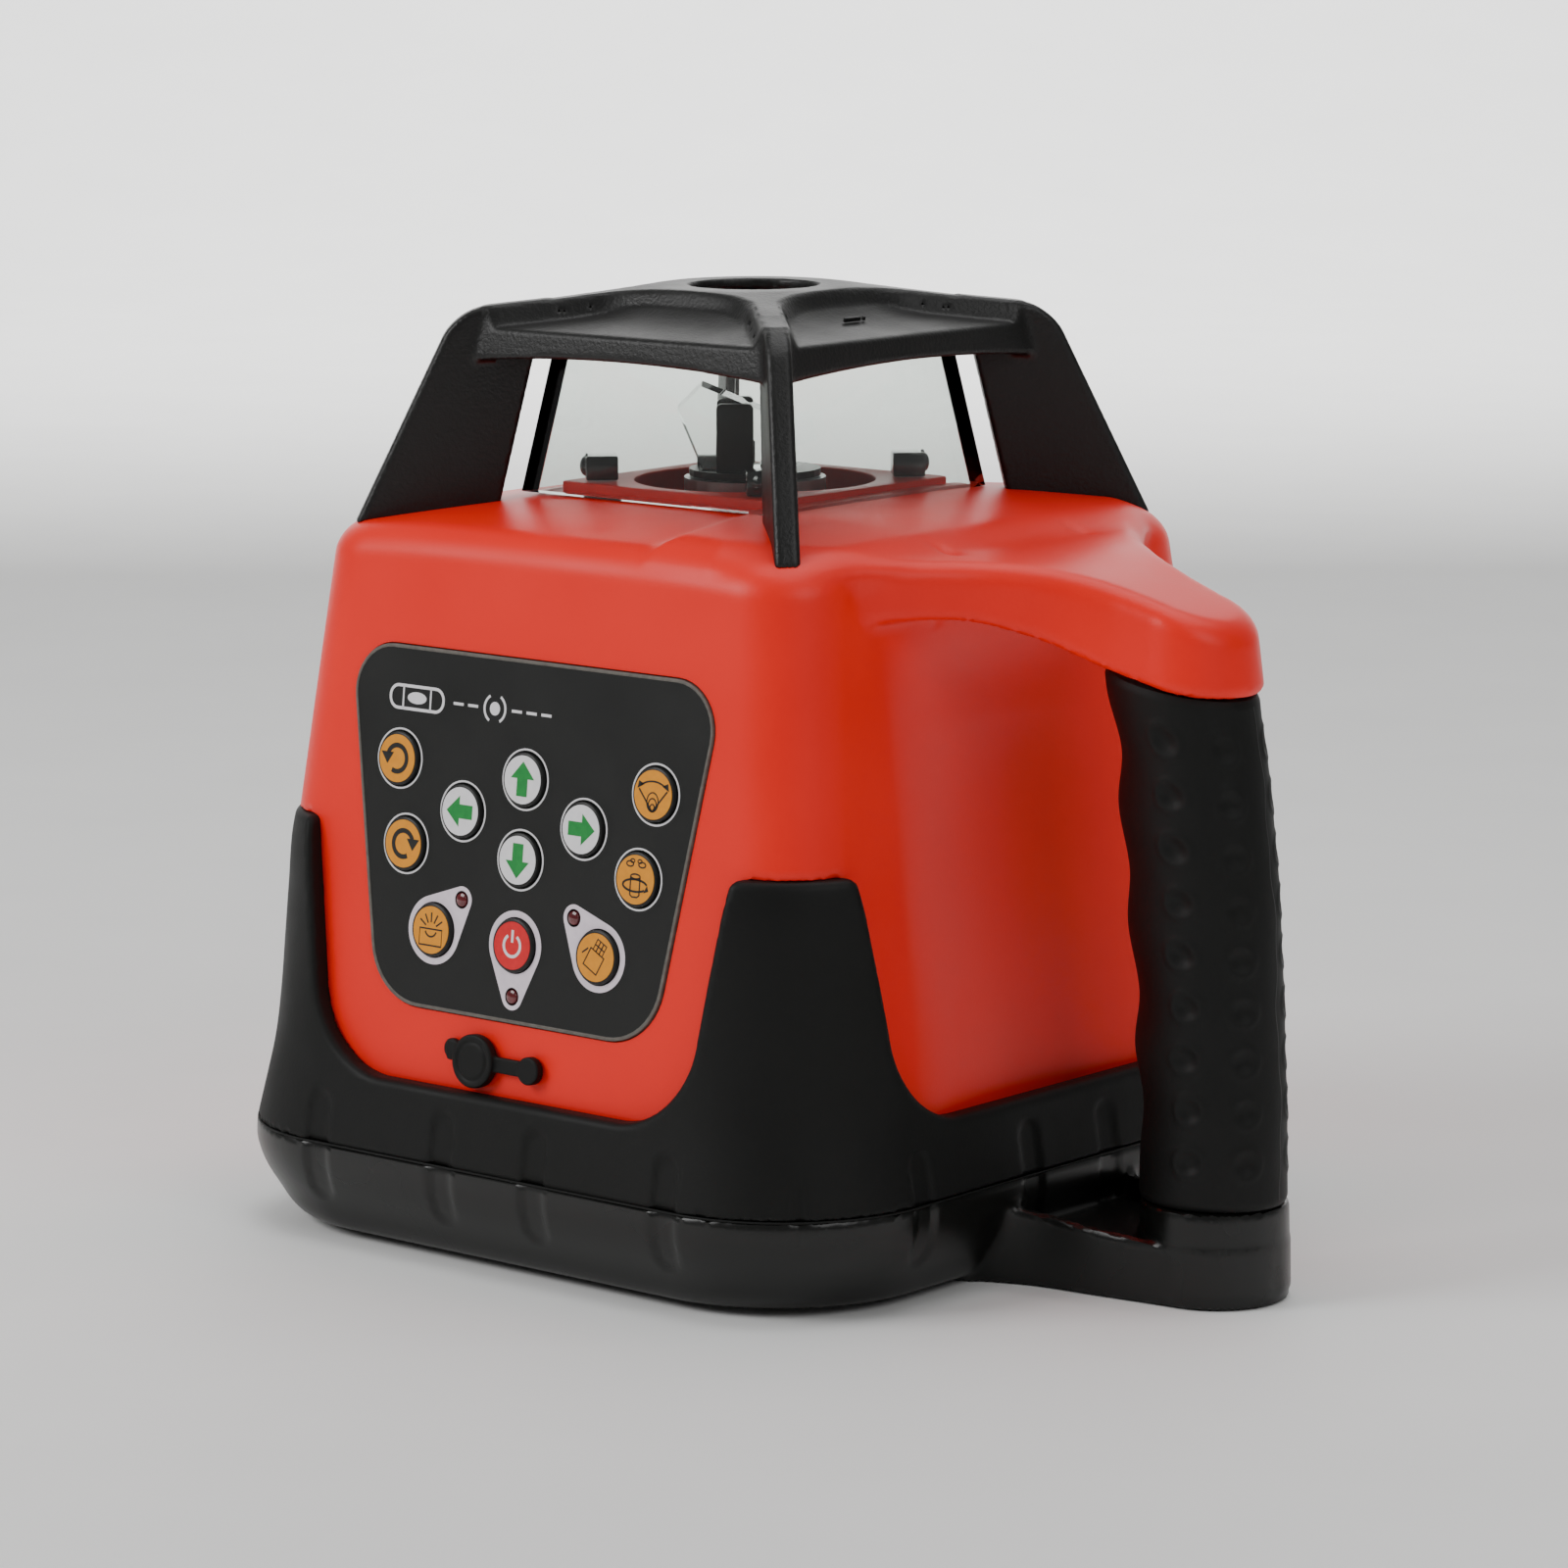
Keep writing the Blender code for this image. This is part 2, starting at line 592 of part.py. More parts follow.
def build_arm():
    sections = (  # past the base's edge, half width, underside and top from the deck edge
        (-0.0320, 0.0440, -0.0175, 0.0040), (-0.0140, 0.0400, -0.0100, 0.0037),
        (-0.0095, 0.0335, -0.0090, 0.0030),
        (-0.0050, 0.0280, -0.0090, 0.0025), (0.0050, 0.0200, -0.0120, 0.0020),
        (0.0180, 0.0160, -0.0167, 0.0015),
        (0.0260, 0.0150, -0.0180, -0.0010), (0.0310, 0.0142, -0.0185, -0.0030),
        (0.0360, 0.0120, -0.0192, -0.0053),
        (0.0400, 0.0085, -0.0195, -0.0080), (0.0425, 0.0040, -0.0180, -0.0115),
    )
    rings = [arm_section(SIDE + out, half, DECK_EDGE + low, DECK_EDGE + high)
        for out, half, low, high in sections]
    return tool("handle_arm", loft("handle_arm", rings))


def scoop(name, grow, low, high):
    """The shallow hollow down the handle side, as a prism that follows the face's lean."""
    steps = 12
    rings = []
    for z, depth in ((low, SCOOP_DEPTH_LOW), (high, SCOOP_DEPTH_HIGH)):
        face = face_half(z)
        half = SCOOP_HALF_WIDTH + grow * 2.2
        ring = [(face - (depth + grow) * math.cos(math.pi / 2 * t) ** 1.5 + 1e-5, half * t, z)
                for t in (2 * i / steps - 1 for i in range(steps + 1))]
        rings.append(ring + [(face + 0.01, half, z), (face + 0.01, -half, z)])
    return tool(name, loft(name, rings))


def build_housing():
    housing = add("main_housing", loft("main_housing", housing_rings()), ORANGE)
    rebate = loft("rebate", [square_ring(BASE_WIDTH, BOOT_RADIUS, z)
        for z in (BASE_TOP - 0.01, BOOT_TOP + GAP)])
    rebate = tool("fang_rebate", rebate)
    keep = loft("keep", [
        square_ring(face_half(z) - 0.0002, BOOT_RADIUS - 0.0043, z)
        for z in (BASE_TOP - 0.012, BOOT_TOP + 0.005)
    ])
    cut(rebate, tool("rebate_core", keep), valley_prism("rebate_valley_y", 0, GAP))
    cut(rebate, valley_prism("rebate_valley_x", math.pi / 2, GAP))
    cut(housing, rebate, scoop("scoop", 0.0, BASE_TOP - 0.005, DECK_EDGE - SCOOP_END_DROP))
    platform = block(
        "platform", (-PLATFORM_HALF, -PLATFORM_HALF, DECK_EDGE), (PLATFORM_HALF, PLATFORM_HALF, PLATFORM_TOP)
    )
    join(housing, tool("deck_platform", platform), build_arm())
    cavity = tool("cavity", loft("cavity", cavity_rings()))
    cut(cavity, scoop("scoop_wall", WALL, BASE_TOP - 0.010, DECK_EDGE - WALL))
    top = PLATFORM_TOP + 0.01
    deck_hole = tool("deck_hole", rod("deck_hole", DECK_HOLE_RADIUS, (0, 0, DECK_EDGE - 0.01), (0, 0, top),
        ROUND))
    recess = plate("recess", [panel_outline(GAP)], PANEL_PROUD - PANEL_THICK - GAP, 0.02)
    window = plate("window", [panel_outline(-PANEL_WINDOW_INSET)], -0.02, 0.02)
    socket_hole = rod("socket_hole", SOCKET_RADIUS + GAP, (CAP_X, face_v(CAP_Z), -0.02),
        (CAP_X, face_v(CAP_Z), 0.02))
    cut(housing, cavity, deck_hole, tool("panel_recess", recess, keypad_frame))
    cut(housing, tool("panel_window", window, keypad_frame),
        tool("charge_socket_hole", socket_hole, keypad_frame))
    start, end = grip_core_ends(COLLAR_TOP, CORE_HIGH + GAP)
    cut(housing, tool("grip_core_arm_hole", rod("core_hole", GRIP_CORE_RADIUS + GAP, start, end, ROUND)))


GRIP_STATIONS = (  # height, then the finger side and the outer side past the base's edge
    (0.018, 0.0190, 0.0478), (0.050, 0.0185, 0.0467), (0.080, 0.0158, 0.0451),
    (0.100, 0.0129, 0.0426), (0.120, 0.0090, 0.0397),
)
GRIP_TOP_SLOPE = -0.17       # the top follows the arm's underside


def between(z, column):
    """A grip station's value at height z, straight between the stations."""
    for lower, upper in zip(GRIP_STATIONS, GRIP_STATIONS[1:]):
        if z <= upper[0]:
            break
    share = (z - lower[0]) / (upper[0] - lower[0])
    return lower[column] + share * (upper[column] - lower[column])


def grip_ring(z, sides=20):
    """An oval round the grip; its top follows the arm's sloping underside."""
    ripple = RIPPLE_DEPTH * math.cos(2 * math.pi * (z - RIPPLE_CREST) / RIPPLE_PITCH)
    inner = between(z, 1) - ripple
    outer = between(z, 2)
    slope = GRIP_TOP_SLOPE * (z - COLLAR_TOP) / (GRIP_TOP - COLLAR_TOP)
    level_x = SIDE + GRIP_STATIONS[-1][1] + GRIP_HALF_Y
    ring = []
    for i in range(sides):
        angle = 2 * math.pi * i / sides
        x = SIDE + (inner + outer) / 2 + (outer - inner) / 2 * math.cos(angle)
        ring.append((x, GRIP_HALF_Y * math.sin(angle), z + slope * (x - level_x)))
    return ring


def build_grip():
    levels = 20
    bottom = COLLAR_TOP + GAP
    heights = [bottom + (GRIP_TOP - bottom) * i / levels for i in range(levels + 1)]
    sleeve = add("grip_sleeve", loft("grip_sleeve", [grip_ring(z) for z in heights]), RUBBER)
    start, end = grip_core_ends(0.0, GRIP_TOP + 0.02)
    cut(sleeve, tool("grip_bore", rod("grip_bore", GRIP_CORE_RADIUS + GAP, start, end, ROUND)))
    start, end = grip_core_ends(CORE_LOW, CORE_HIGH)
    add("grip_core", rod("grip_core", GRIP_CORE_RADIUS, start, end, ROUND), BLACK)


# ---------------------------------------------------------------- keypad and charge socket
def panel_outline(grow):
    """The keypad panel's tapering outline on the front face, grown or shrunk evenly."""
    top = face_v(PANEL_TOP_Z) + grow
    bottom = face_v(PANEL_BOTTOM_Z) - grow
    half_top = PANEL_HALF_TOP + grow
    half_bottom = PANEL_HALF_BOTTOM + grow
    high_radius = max(PANEL_RADIUS_TOP + grow, 0.002)
    low_radius = max(PANEL_RADIUS_BOTTOM + grow, 0.002)
    return rounded([
        (-half_bottom, bottom, low_radius), (half_bottom, bottom, low_radius),
        (half_top, top, high_radius), (-half_top, top, high_radius),
    ])


KEYS = {  # name: (x, height, material)
    "key_turn_left": (-0.0330, 0.0958, AMBER), "key_scan": (0.0330, 0.0958, AMBER),
    "key_turn_right": (-0.0300, 0.0796, AMBER), "key_speed": (0.0300, 0.0796, AMBER),
    "key_left": (-0.0156, 0.0874, GREEN), "key_right": (0.0156, 0.0874, GREEN),
    "key_up": (0.0, 0.0951, GREEN), "key_down": (0.0, 0.0798, GREEN),
    "key_tilt": (-0.0213, 0.0639, WHITE), "key_alarm": (0.0213, 0.0639, WHITE),
    "key_power": (0.0, 0.0635, WHITE),
}
LAMPS = {"lamp_tilt": (-0.0145, 0.0705), "lamp_alarm": (0.0145, 0.0705), "lamp_power": (0.0, 0.0537)}


def build_keypad():
    holes = [circle_points(KEY_RADIUS + GAP, SMALL, (x, panel_v(z))) for x, z, _ in KEYS.values()]
    holes += [circle_points(LED_RADIUS + GAP, SMALL, (x, panel_v(z))) for x, z in LAMPS.values()]
    panel = plate("keypad_panel", [panel_outline(0)] + holes, PANEL_PROUD - PANEL_THICK, PANEL_PROUD)
    add("keypad_panel", panel, PANEL, keypad_frame)
    board_top = -WALL - GAP
    board = plate("keypad_board", [panel_outline(-BOARD_INSET)], board_top - BOARD_THICK, board_top)
    add("keypad_board", board, CIRCUIT, keypad_frame)
    stem_end = board_top + KEY_TRAVEL + GAP
    for name, (x, z, finish) in KEYS.items():
        key = rod(name, KEY_RADIUS, (0, 0, stem_end), (0, 0, PANEL_PROUD + KEY_PROUD), SMALL, bevel=0.0003)
        add(name, key, finish, keypad_frame, location=(x, panel_v(z), 0))
    for name, (x, z) in LAMPS.items():
        lamp = rod(name, LED_RADIUS, (0, 0, PANEL_PROUD - PANEL_THICK), (0, 0, PANEL_PROUD + GAP), 12,
            bevel=0.0003)
        add(name, lamp, RED, keypad_frame, location=(x, panel_v(z), 0))


def build_charge_socket():
    v = face_v(CAP_Z)
    rear = -SOCKET_DEPTH
    turned(
        "charge_socket",
        [(SOCKET_RADIUS, -GAP), (SOCKET_RADIUS, rear), (0.0, rear), (0.0, rear + STRAP_THICK),
         (SOCKET_BORE, rear + STRAP_THICK), (SOCKET_BORE, -GAP)],
        BLACK, keypad_frame, location=(CAP_X, v, 0), sides=SMALL,
    )
    place = (CAP_HINGE_X, v, HINGE_RISE)
    low = GAP - HINGE_RISE
    high = STRAP_THICK - HINGE_RISE
    cap_x = CAP_X - CAP_HINGE_X
    tab_x = cap_x - CAP_TAB_REACH
    tab_y = STRAP_HALF_WIDTH
    disc = rod("charge_cap", CAP_RADIUS, (cap_x, 0, low), (cap_x, 0, CAP_THICK - HINGE_RISE), SMALL,
        bevel=0.0004)
    cap = add("charge_cap", disc, RUBBER, keypad_frame, location=place)
    strap = block("strap", (cap_x, -STRAP_HALF_WIDTH, low), (-GAP, STRAP_HALF_WIDTH, high))
    tab = rod("tab", CAP_TAB_RADIUS, (tab_x, tab_y, low), (tab_x, tab_y, high))
    neck = block("neck", (tab_x + GAP, tab_y - CAP_TAB_RADIUS, low), (cap_x, tab_y + STRAP_HALF_WIDTH, high))
    plug = rod("plug", SOCKET_BORE - SLIP, (cap_x, 0, -STRAP_THICK - HINGE_RISE), (cap_x, 0, low + GAP))
    join(cap, tool("cap_strap", strap, keypad_frame, place), tool("cap_neck", neck, keypad_frame, place))
    join(cap, tool("cap_tab", tab, keypad_frame, place), tool("cap_plug", plug, keypad_frame, place))
    disc = rod("cap_anchor", CAP_ANCHOR_RADIUS, (CAP_ANCHOR_X, v, GAP), (CAP_ANCHOR_X, v, CAP_ANCHOR_TOP),
        SMALL, bevel=0.0003)
    anchor = add("cap_anchor", disc, RUBBER, keypad_frame)
    start = CAP_HINGE_X + HINGE_CLEAR
    stub = block("stub", (start, v - STRAP_HALF_WIDTH, GAP),
        (CAP_ANCHOR_X, v + STRAP_HALF_WIDTH, STRAP_THICK))
    join(anchor, tool("anchor_stub", stub, keypad_frame))


# ---------------------------------------------------------------- head: cage, glass and receivers
def build_cage():
    top = CAGE_TOP
    shape = ((top - 0.0135, 0.0405, 0.0040), (top - 0.0082, 0.0398, 0.0040), (top - 0.0060, 0.0340, 0.0060),
             (top - 0.0035, 0.0260, 0.0100), (top - 0.0010, 0.0205, 0.0150), (top, 0.0190, 0.0170))
    cage = add("head_cage", loft("head_cage", [square_ring(half, r, z) for z, half, r in shape]), BLACK)
    blade = rounded([
        (0.0498, DECK_EDGE + 0.0078, 0), (0.0783, DECK_EDGE + 0.0044, 0), (0.0594, top - 0.0062, 0.003),
        (0.0170, top - 0.0007, 0),
        (0.0170, top - 0.0090, 0), (0.0430, top - 0.0130, 0.003),
    ], 3)
    for number in range(4):
        leg = plate("leg", [blade], -BLADE_THICK / 2, BLADE_THICK / 2)
        join(cage, tool(f"cage_leg_{number + 1}", leg,
            rotation=(math.pi / 2, 0, math.pi / 4 + number * math.pi / 2)))
    under = ((top - 0.0155, 0.0375, 0.003), (top - 0.0098, 0.0370, 0.003), (top - 0.0060, 0.0260, 0.005),
             (top - 0.0040, 0.0150, 0.008))
    hollow = tool("roof_hollow", loft("roof_hollow", [square_ring(half, r, z) for z, half, r in under]))
    hole = tool("roof_hole", rod("roof_hole", ROOF_HOLE_RADIUS, (0, 0, top - 0.02), (0, 0, top + 0.01),
        ROUND))
    cut(cage, hollow, hole, tool("deck_clearance", loft("deck_clearance", housing_rings(GAP))))


def build_glass():
    """Four leaning panes that meet in mitred corners."""
    mitre = GAP / 2
    for number, name in enumerate(("window_right", "window_back", "window_left", "window_front")):
        bm = bmesh.new()
        bmesh.ops.create_cube(bm, size=2.0)
        for vertex in bm.verts:
            z = GLASS_TOP if vertex.co.z > 0 else GLASS_BOTTOM
            face = GLASS_HALF - GLASS_LEAN * (z - GLASS_BOTTOM)
            x = face if vertex.co.x > 0 else face - GLASS_THICK
            vertex.co = (x, math.copysign(x - mitre, vertex.co.y), z)
        add(name, mesh_from(bm, name, smooth=False), GLASS, rotation=(0, 0, number * math.pi / 2))


def build_receivers():
    for number in range(4):
        half = RECEIVER_SIZE / 2
        low = PLATFORM_TOP + GAP
        body = block("receiver", (-half, -half, low), (half, half, RECEIVER_TOP), bevel=0.0003, steps=1)
        turn = math.pi / 4 + number * math.pi / 2
        place = (math.sqrt(2) * RECEIVER_OFFSET * math.cos(turn),
            math.sqrt(2) * RECEIVER_OFFSET * math.sin(turn), 0)
        receiver = add(f"ir_receiver_{number + 1}", body, PANEL, location=place, rotation=(0, 0, turn))
        bm = bmesh.new()
        bmesh.ops.create_uvsphere(bm, u_segments=12, v_segments=8, radius=0.0022)
        bmesh.ops.translate(bm, vec=(half - 0.0006, 0, (PLATFORM_TOP + RECEIVER_TOP) / 2), verts=bm.verts)
        join(receiver, tool(f"receiver_lens_{number + 1}", mesh_from(bm, "lens"), location=place,
            rotation=(0, 0, turn)))


# ---------------------------------------------------------------- gimbal, laser core and rotor
def build_chassis():
    quarters = ((-1, -1), (1, -1), (1, 1), (-1, 1))
    outline = rounded([(sx * CHASSIS_HALF_X, sy * CHASSIS_HALF_Y, 0.008) for sx, sy in quarters])
    deck = plate("chassis", [outline, circle_points(CHASSIS_HOLE, ROUND)], CHASSIS_Z,
        CHASSIS_Z + CHASSIS_THICK)
    chassis = add("chassis", deck, ALUMINIUM)
    post_x = CHASSIS_HALF_X - 0.008
    post_y = CHASSIS_HALF_Y - 0.0052
    for number, (sx, sy) in enumerate(((1, -1), (1, 1), (-1, 1), (-1, -1)), 1):
        x = sx * post_x
        y = sy * post_y
        post = rod("post", POST_RADIUS, (x, y, FLOOR_TOP + GAP), (x, y, CHASSIS_Z + 0.001), 12)
        join(chassis, tool(f"chassis_post_{number}", post))
    for name, side in (("lug_right", 1), ("lug_left", -1)):
        near = side * (LUG_X - LUG_THICK / 2)
        far = side * (LUG_X + LUG_THICK)
        lug = block(name, (min(near, far), -0.005, CHASSIS_Z + 0.001),
            (max(near, far), 0.005, PIVOT_Z + 0.006))
        join(chassis, tool(name, lug))
    bore = rod("bore", TRUNNION_RADIUS + GAP, (-0.05, 0, PIVOT_Z), (0.05, 0, PIVOT_Z))
    cut(chassis, tool("trunnion_bores", bore))


def build_gimbal_ring():
    low = -RING_HALF_HEIGHT
    high = RING_HALF_HEIGHT
    ring = turned("gimbal_ring", [(RING_OUTER, high), (RING_OUTER, low), (RING_INNER, low),
        (RING_INNER, high)],
                  ALUMINIUM, location=(0, 0, PIVOT_Z), sides=ROUND)
    for name, side in (("trunnion_right", 1), ("trunnion_left", -1)):
        pin = rod(name, TRUNNION_RADIUS, (side * (RING_OUTER - 0.002), 0, 0), (side * (LUG_X + 0.002), 0, 0))
        join(ring, tool(name, pin, location=(0, 0, PIVOT_Z)))
    bore = rod("bore", TRUNNION_RADIUS + GAP, (0, -0.05, 0), (0, 0.05, 0))
    cut(ring, tool("ring_bores", bore, location=(0, 0, PIVOT_Z)))


def build_laser_core():
    """The tilting tube that holds the laser; its parts are placed from the gimbal's centre."""
    shelf_top = SHELF_Z + 0.002
    flange_top = FLANGE_Z + FLANGE_THICK
    profile = [(0, NECK_TOP), (NECK_RADIUS, NECK_TOP), (NECK_RADIUS, flange_top), (FLANGE_RADIUS, flange_top),
               (FLANGE_RADIUS, FLANGE_Z), (CORE_RADIUS, FLANGE_Z), (CORE_RADIUS, shelf_top),
               (FLANGE_RADIUS, shelf_top),
               (FLANGE_RADIUS, SHELF_Z), (CORE_RADIUS, SHELF_Z), (CORE_RADIUS, CORE_BOTTOM), (0, CORE_BOTTOM)]
    place = (0, 0, PIVOT_Z)
    core = turned("laser_core", [(r, z - PIVOT_Z) for r, z in profile], ALUMINIUM, location=place,
        closed=False)
    reach = MOTOR_OFFSET * math.sqrt(2) + MOTOR_RADIUS
    shelf = block("shelf", (CORE_RADIUS, -0.010, FLANGE_Z - PIVOT_Z), (reach, 0.010, flange_top - PIVOT_Z))
    low = LEVER_Z - PIVOT_Z
    end = LEVER_REACH + NUT_SIZE / 2
    lever = block("lever", (CORE_RADIUS - 0.002, -LEVER_HALF_WIDTH, low),
        (end, LEVER_HALF_WIDTH, low + LEVER_THICK))
    pins = rod("pins", TRUNNION_RADIUS, (0, -RING_OUTER + 0.002, 0), (0, RING_OUTER - 0.002, 0))
    join(core, tool("motor_shelf", shelf, location=place, rotation=(0, 0, math.radians(225))))
    join(core, tool("lever_x", lever, location=place))
    join(core, tool("lever_y", lever, location=place, rotation=(0, 0, math.pi / 2)))
    join(core, tool("core_trunnions", pins, location=place))
    step_z = flange_top - 0.001 - PIVOT_Z
    bore = rod("bore", CORE_BORE, (0, 0, CORE_BOTTOM - PIVOT_Z - 0.01), (0, 0, step_z), ROUND)
    neck = rod("neck_bore", NECK_BORE, (0, 0, step_z - 0.001), (0, 0, NECK_TOP - PIVOT_Z + 0.01), ROUND)
    shaft = rod("shaft_hole", 0.0016, (-MOTOR_OFFSET, -MOTOR_OFFSET, 0), (-MOTOR_OFFSET, -MOTOR_OFFSET, 0.03))
    cut(core, tool("core_bore", bore, location=place), tool("neck_bore", neck, location=place))
    cut(core, tool("motor_shaft_hole", shaft, location=place))
    module_radius = CORE_BORE - GAP
    low = CORE_BOTTOM + 0.002 - PIVOT_Z
    high = FLANGE_Z - 0.002 - PIVOT_Z
    turned("laser_module", [(0, high), (module_radius * 0.6, high), (module_radius * 0.6, high - 0.003),
                            (module_radius, high - 0.003), (module_radius, low), (0, low)],
           BRASS, location=place, closed=False, sides=SMALL)
    half = VIAL_LENGTH / 2
    vial_z = shelf_top + GAP + VIAL_RADIUS - PIVOT_Z
    for name, start, end in (
        ("level_vial_x", (-half, -VIAL_OFFSET, vial_z), (half, -VIAL_OFFSET, vial_z)),
        ("level_vial_y", (VIAL_OFFSET, -half, vial_z), (VIAL_OFFSET, half, vial_z)),
    ):
        add(name, rod(name, VIAL_RADIUS, start, end, SMALL, bevel=0.0006), GLASS, location=place)


def belt_loop(big, small, distance, steps=14):
    """The outline of a belt round two circles, the big one at the origin and the small one at +X."""
    spread = math.acos((big - small) / distance)
    loop = []
    for i in range(steps + 1):
        angle = spread + (2 * math.pi - 2 * spread) * i / steps
        loop.append(Vector((big * math.cos(angle), big * math.sin(angle))))
    for i in range(steps // 2 + 1):
        angle = -spread + 2 * spread * i / (steps // 2)
        loop.append(Vector((distance + small * math.cos(angle), small * math.sin(angle))))
    return loop


HUB_LOW = FLANGE_Z + FLANGE_THICK + SLIP
BEARING_TOP = HUB_LOW + BEARING_WIDTH
BELT_LOW = HUB_LOW + PULLEY_FLANGE + 0.0012
BELT_HIGH = BELT_LOW + BELT_WIDTH


def pulley_rim(radius, low, high):
    """Outer profile of a flanged belt pulley, from its top down."""
    lip = radius + 0.0015
    return [
        (lip, high), (lip, high - 0.001), (radius, high - 0.0015),
        (radius, low + 0.0015), (lip, low + 0.001), (lip, low),
    ]


def build_rotor():
    place = (0, 0, ROTOR_TOP)
    rim_high = BELT_HIGH + BELT_LOW - HUB_LOW
    inner = BEARING_OUTER + GAP
    neck_clear = NECK_RADIUS + GAP
    profile = [(ROTOR_TABLE_RADIUS, ROTOR_TOP), (ROTOR_TABLE_RADIUS, ROTOR_TOP - 0.0025),
        (0.0095, ROTOR_TOP - 0.004),
               (0.0095, NECK_TOP + 0.0025), (0.0150, NECK_TOP + 0.0015), (0.0150, rim_high + 0.0002)]
    profile += pulley_rim(ROTOR_PULLEY_RADIUS, HUB_LOW, rim_high)
    profile += [(inner, HUB_LOW), (inner, BEARING_TOP + GAP), (neck_clear, BEARING_TOP + GAP),
                (neck_clear, NECK_TOP + SLIP), (NECK_BORE, NECK_TOP + SLIP + 0.0005), (NECK_BORE, ROTOR_TOP)]
    turned("rotor_hub", [(r, z - ROTOR_TOP) for r, z in profile], ALUMINIUM, location=place)
    low = HUB_LOW
    race = [(BEARING_OUTER, BEARING_TOP), (BEARING_OUTER, low), (neck_clear, low), (neck_clear, BEARING_TOP)]
    turned("rotor_bearing", race, STEEL)
    turn = math.radians(225)
    distance = MOTOR_OFFSET * math.sqrt(2)
    outer = belt_loop(ROTOR_PULLEY_RADIUS + GAP + BELT_THICK, MOTOR_PULLEY_RADIUS + GAP + BELT_THICK,
        distance)
    inside = belt_loop(ROTOR_PULLEY_RADIUS + GAP, MOTOR_PULLEY_RADIUS + GAP, distance)
    add("drive_belt", plate("drive_belt", [outer, inside], BELT_LOW, BELT_HIGH), RUBBER,
        rotation=(0, 0, turn))
    motor_place = (-MOTOR_OFFSET, -MOTOR_OFFSET, 0)
    motor_top = FLANGE_Z - GAP
    motor = rod("rotor_motor", MOTOR_RADIUS, (0, 0, motor_top - MOTOR_LENGTH), (0, 0, motor_top), SMALL,
        bevel=0.0006)
    add("rotor_motor", motor, STEEL, location=motor_place)
    rim = pulley_rim(MOTOR_PULLEY_RADIUS, HUB_LOW, rim_high)
    turned("motor_pulley", [(0, rim_high)] + rim + [(0.001, HUB_LOW), (0.001, motor_top + GAP),
        (0, motor_top + GAP)],
           BRASS, location=motor_place, closed=False, sides=SMALL)


def prism_section():
    """The five-sided prism's outline (out, up) from the rotor axis and the rotor's table."""
    lean = PRISM_FACE * math.tan(math.radians(22.5))
    low = 0.0020
    back = PRISM_EXIT - PRISM_FACE
    return [(PRISM_EXIT, low), (PRISM_EXIT, low + PRISM_FACE), (back, low + PRISM_FACE + lean),
            (back - lean, low + PRISM_FACE), (back, low)]


def build_prism():
    place = (0, 0, ROTOR_TOP)
    turn = (0, 0, PRISM_ANGLE)
    upright = (math.pi / 2, 0, PRISM_ANGLE)
    half = PRISM_FACE / 2
    prism = plate("pentaprism", [prism_section()], -half, half)
    add("pentaprism", prism, GLASS, location=place, rotation=upright)
    disc = [(ROTOR_TABLE_RADIUS - 0.001, 0.0017), (ROTOR_TABLE_RADIUS - 0.001, GAP), (NECK_BORE, GAP),
        (NECK_BORE, 0.0017)]
    bracket = turned("prism_bracket", disc, BLACK, location=place)
    cheek = rounded([
        (CHEEK_LOW, 0.0010, 0), (CHEEK_HIGH, 0.0010, 0), (CHEEK_HIGH, CHEEK_HEIGHT, 0.001),
        (CHEEK_LOW, CHEEK_HEIGHT, 0.001),
    ], 3)
    start = half + GAP
    near = plate("cheek", [cheek], start, start + CHEEK_THICK)
    far = plate("cheek", [cheek], -start - CHEEK_THICK, -start)
    join(bracket, tool("cheek_near", near, location=place, rotation=upright))
    join(bracket, tool("cheek_far", far, location=place, rotation=upright))
    weight = block("weight", (-0.0105, half + 0.0004, 0.0010), (-0.0066, half + 0.0034, 0.0037),
        bevel=0.0003, steps=1)
    join(bracket, tool("balance_weight", weight, location=place, rotation=(0, 0, PRISM_ANGLE)))


def build_levelling():
    """Two geared motors, each turning a screw that lifts a nut under one of the core's levers."""
    nut_top = LEVER_Z - LEVER_CLEARANCE
    for axis, x, y in (("x", LEVER_REACH, 0), ("y", 0, LEVER_REACH)):
        motor = rod("motor", LEVEL_MOTOR_RADIUS, (0, 0, FLOOR_TOP + GAP), (0, 0, LEVEL_MOTOR_TOP), SMALL,
            bevel=0.0006)
        add(f"level_motor_{axis}", motor, STEEL, location=(x, y, 0))
        screw = rod("screw", SCREW_RADIUS, (0, 0, LEVEL_MOTOR_TOP + GAP), (0, 0, SCREW_TOP), 12)
        add(f"level_screw_{axis}", screw, STEEL, location=(x, y, 0))
        half = NUT_SIZE / 2
        nut = block("nut", (-half, -half, nut_top - NUT_HEIGHT), (half, half, nut_top), bevel=0.0004, steps=1)
        nut = add(f"level_nut_{axis}", nut, BRASS, location=(x, y, 0))
        bore = rod("bore", SCREW_RADIUS + GAP, (0, 0, nut_top - NUT_HEIGHT - 0.01),
            (0, 0, nut_top - 0.0015), 12)
        cut(nut, tool(f"nut_bore_{axis}", bore, location=(x, y, 0)))


def build_main_board():
    near = CHASSIS_HALF_Y + 0.0030
    board = block("main_board", (-0.045, near, 0.030), (0.045, near + BOARD_THICK, 0.110))
    add("main_board", board, CIRCUIT)


build_base()
build_boot()
build_feet_and_insert()
build_battery()
build_housing()
build_grip()
build_keypad()
build_charge_socket()
build_cage()
build_glass()
build_receivers()
build_chassis()
build_gimbal_ring()
build_laser_core()
build_rotor()
build_prism()
build_levelling()
build_main_board()
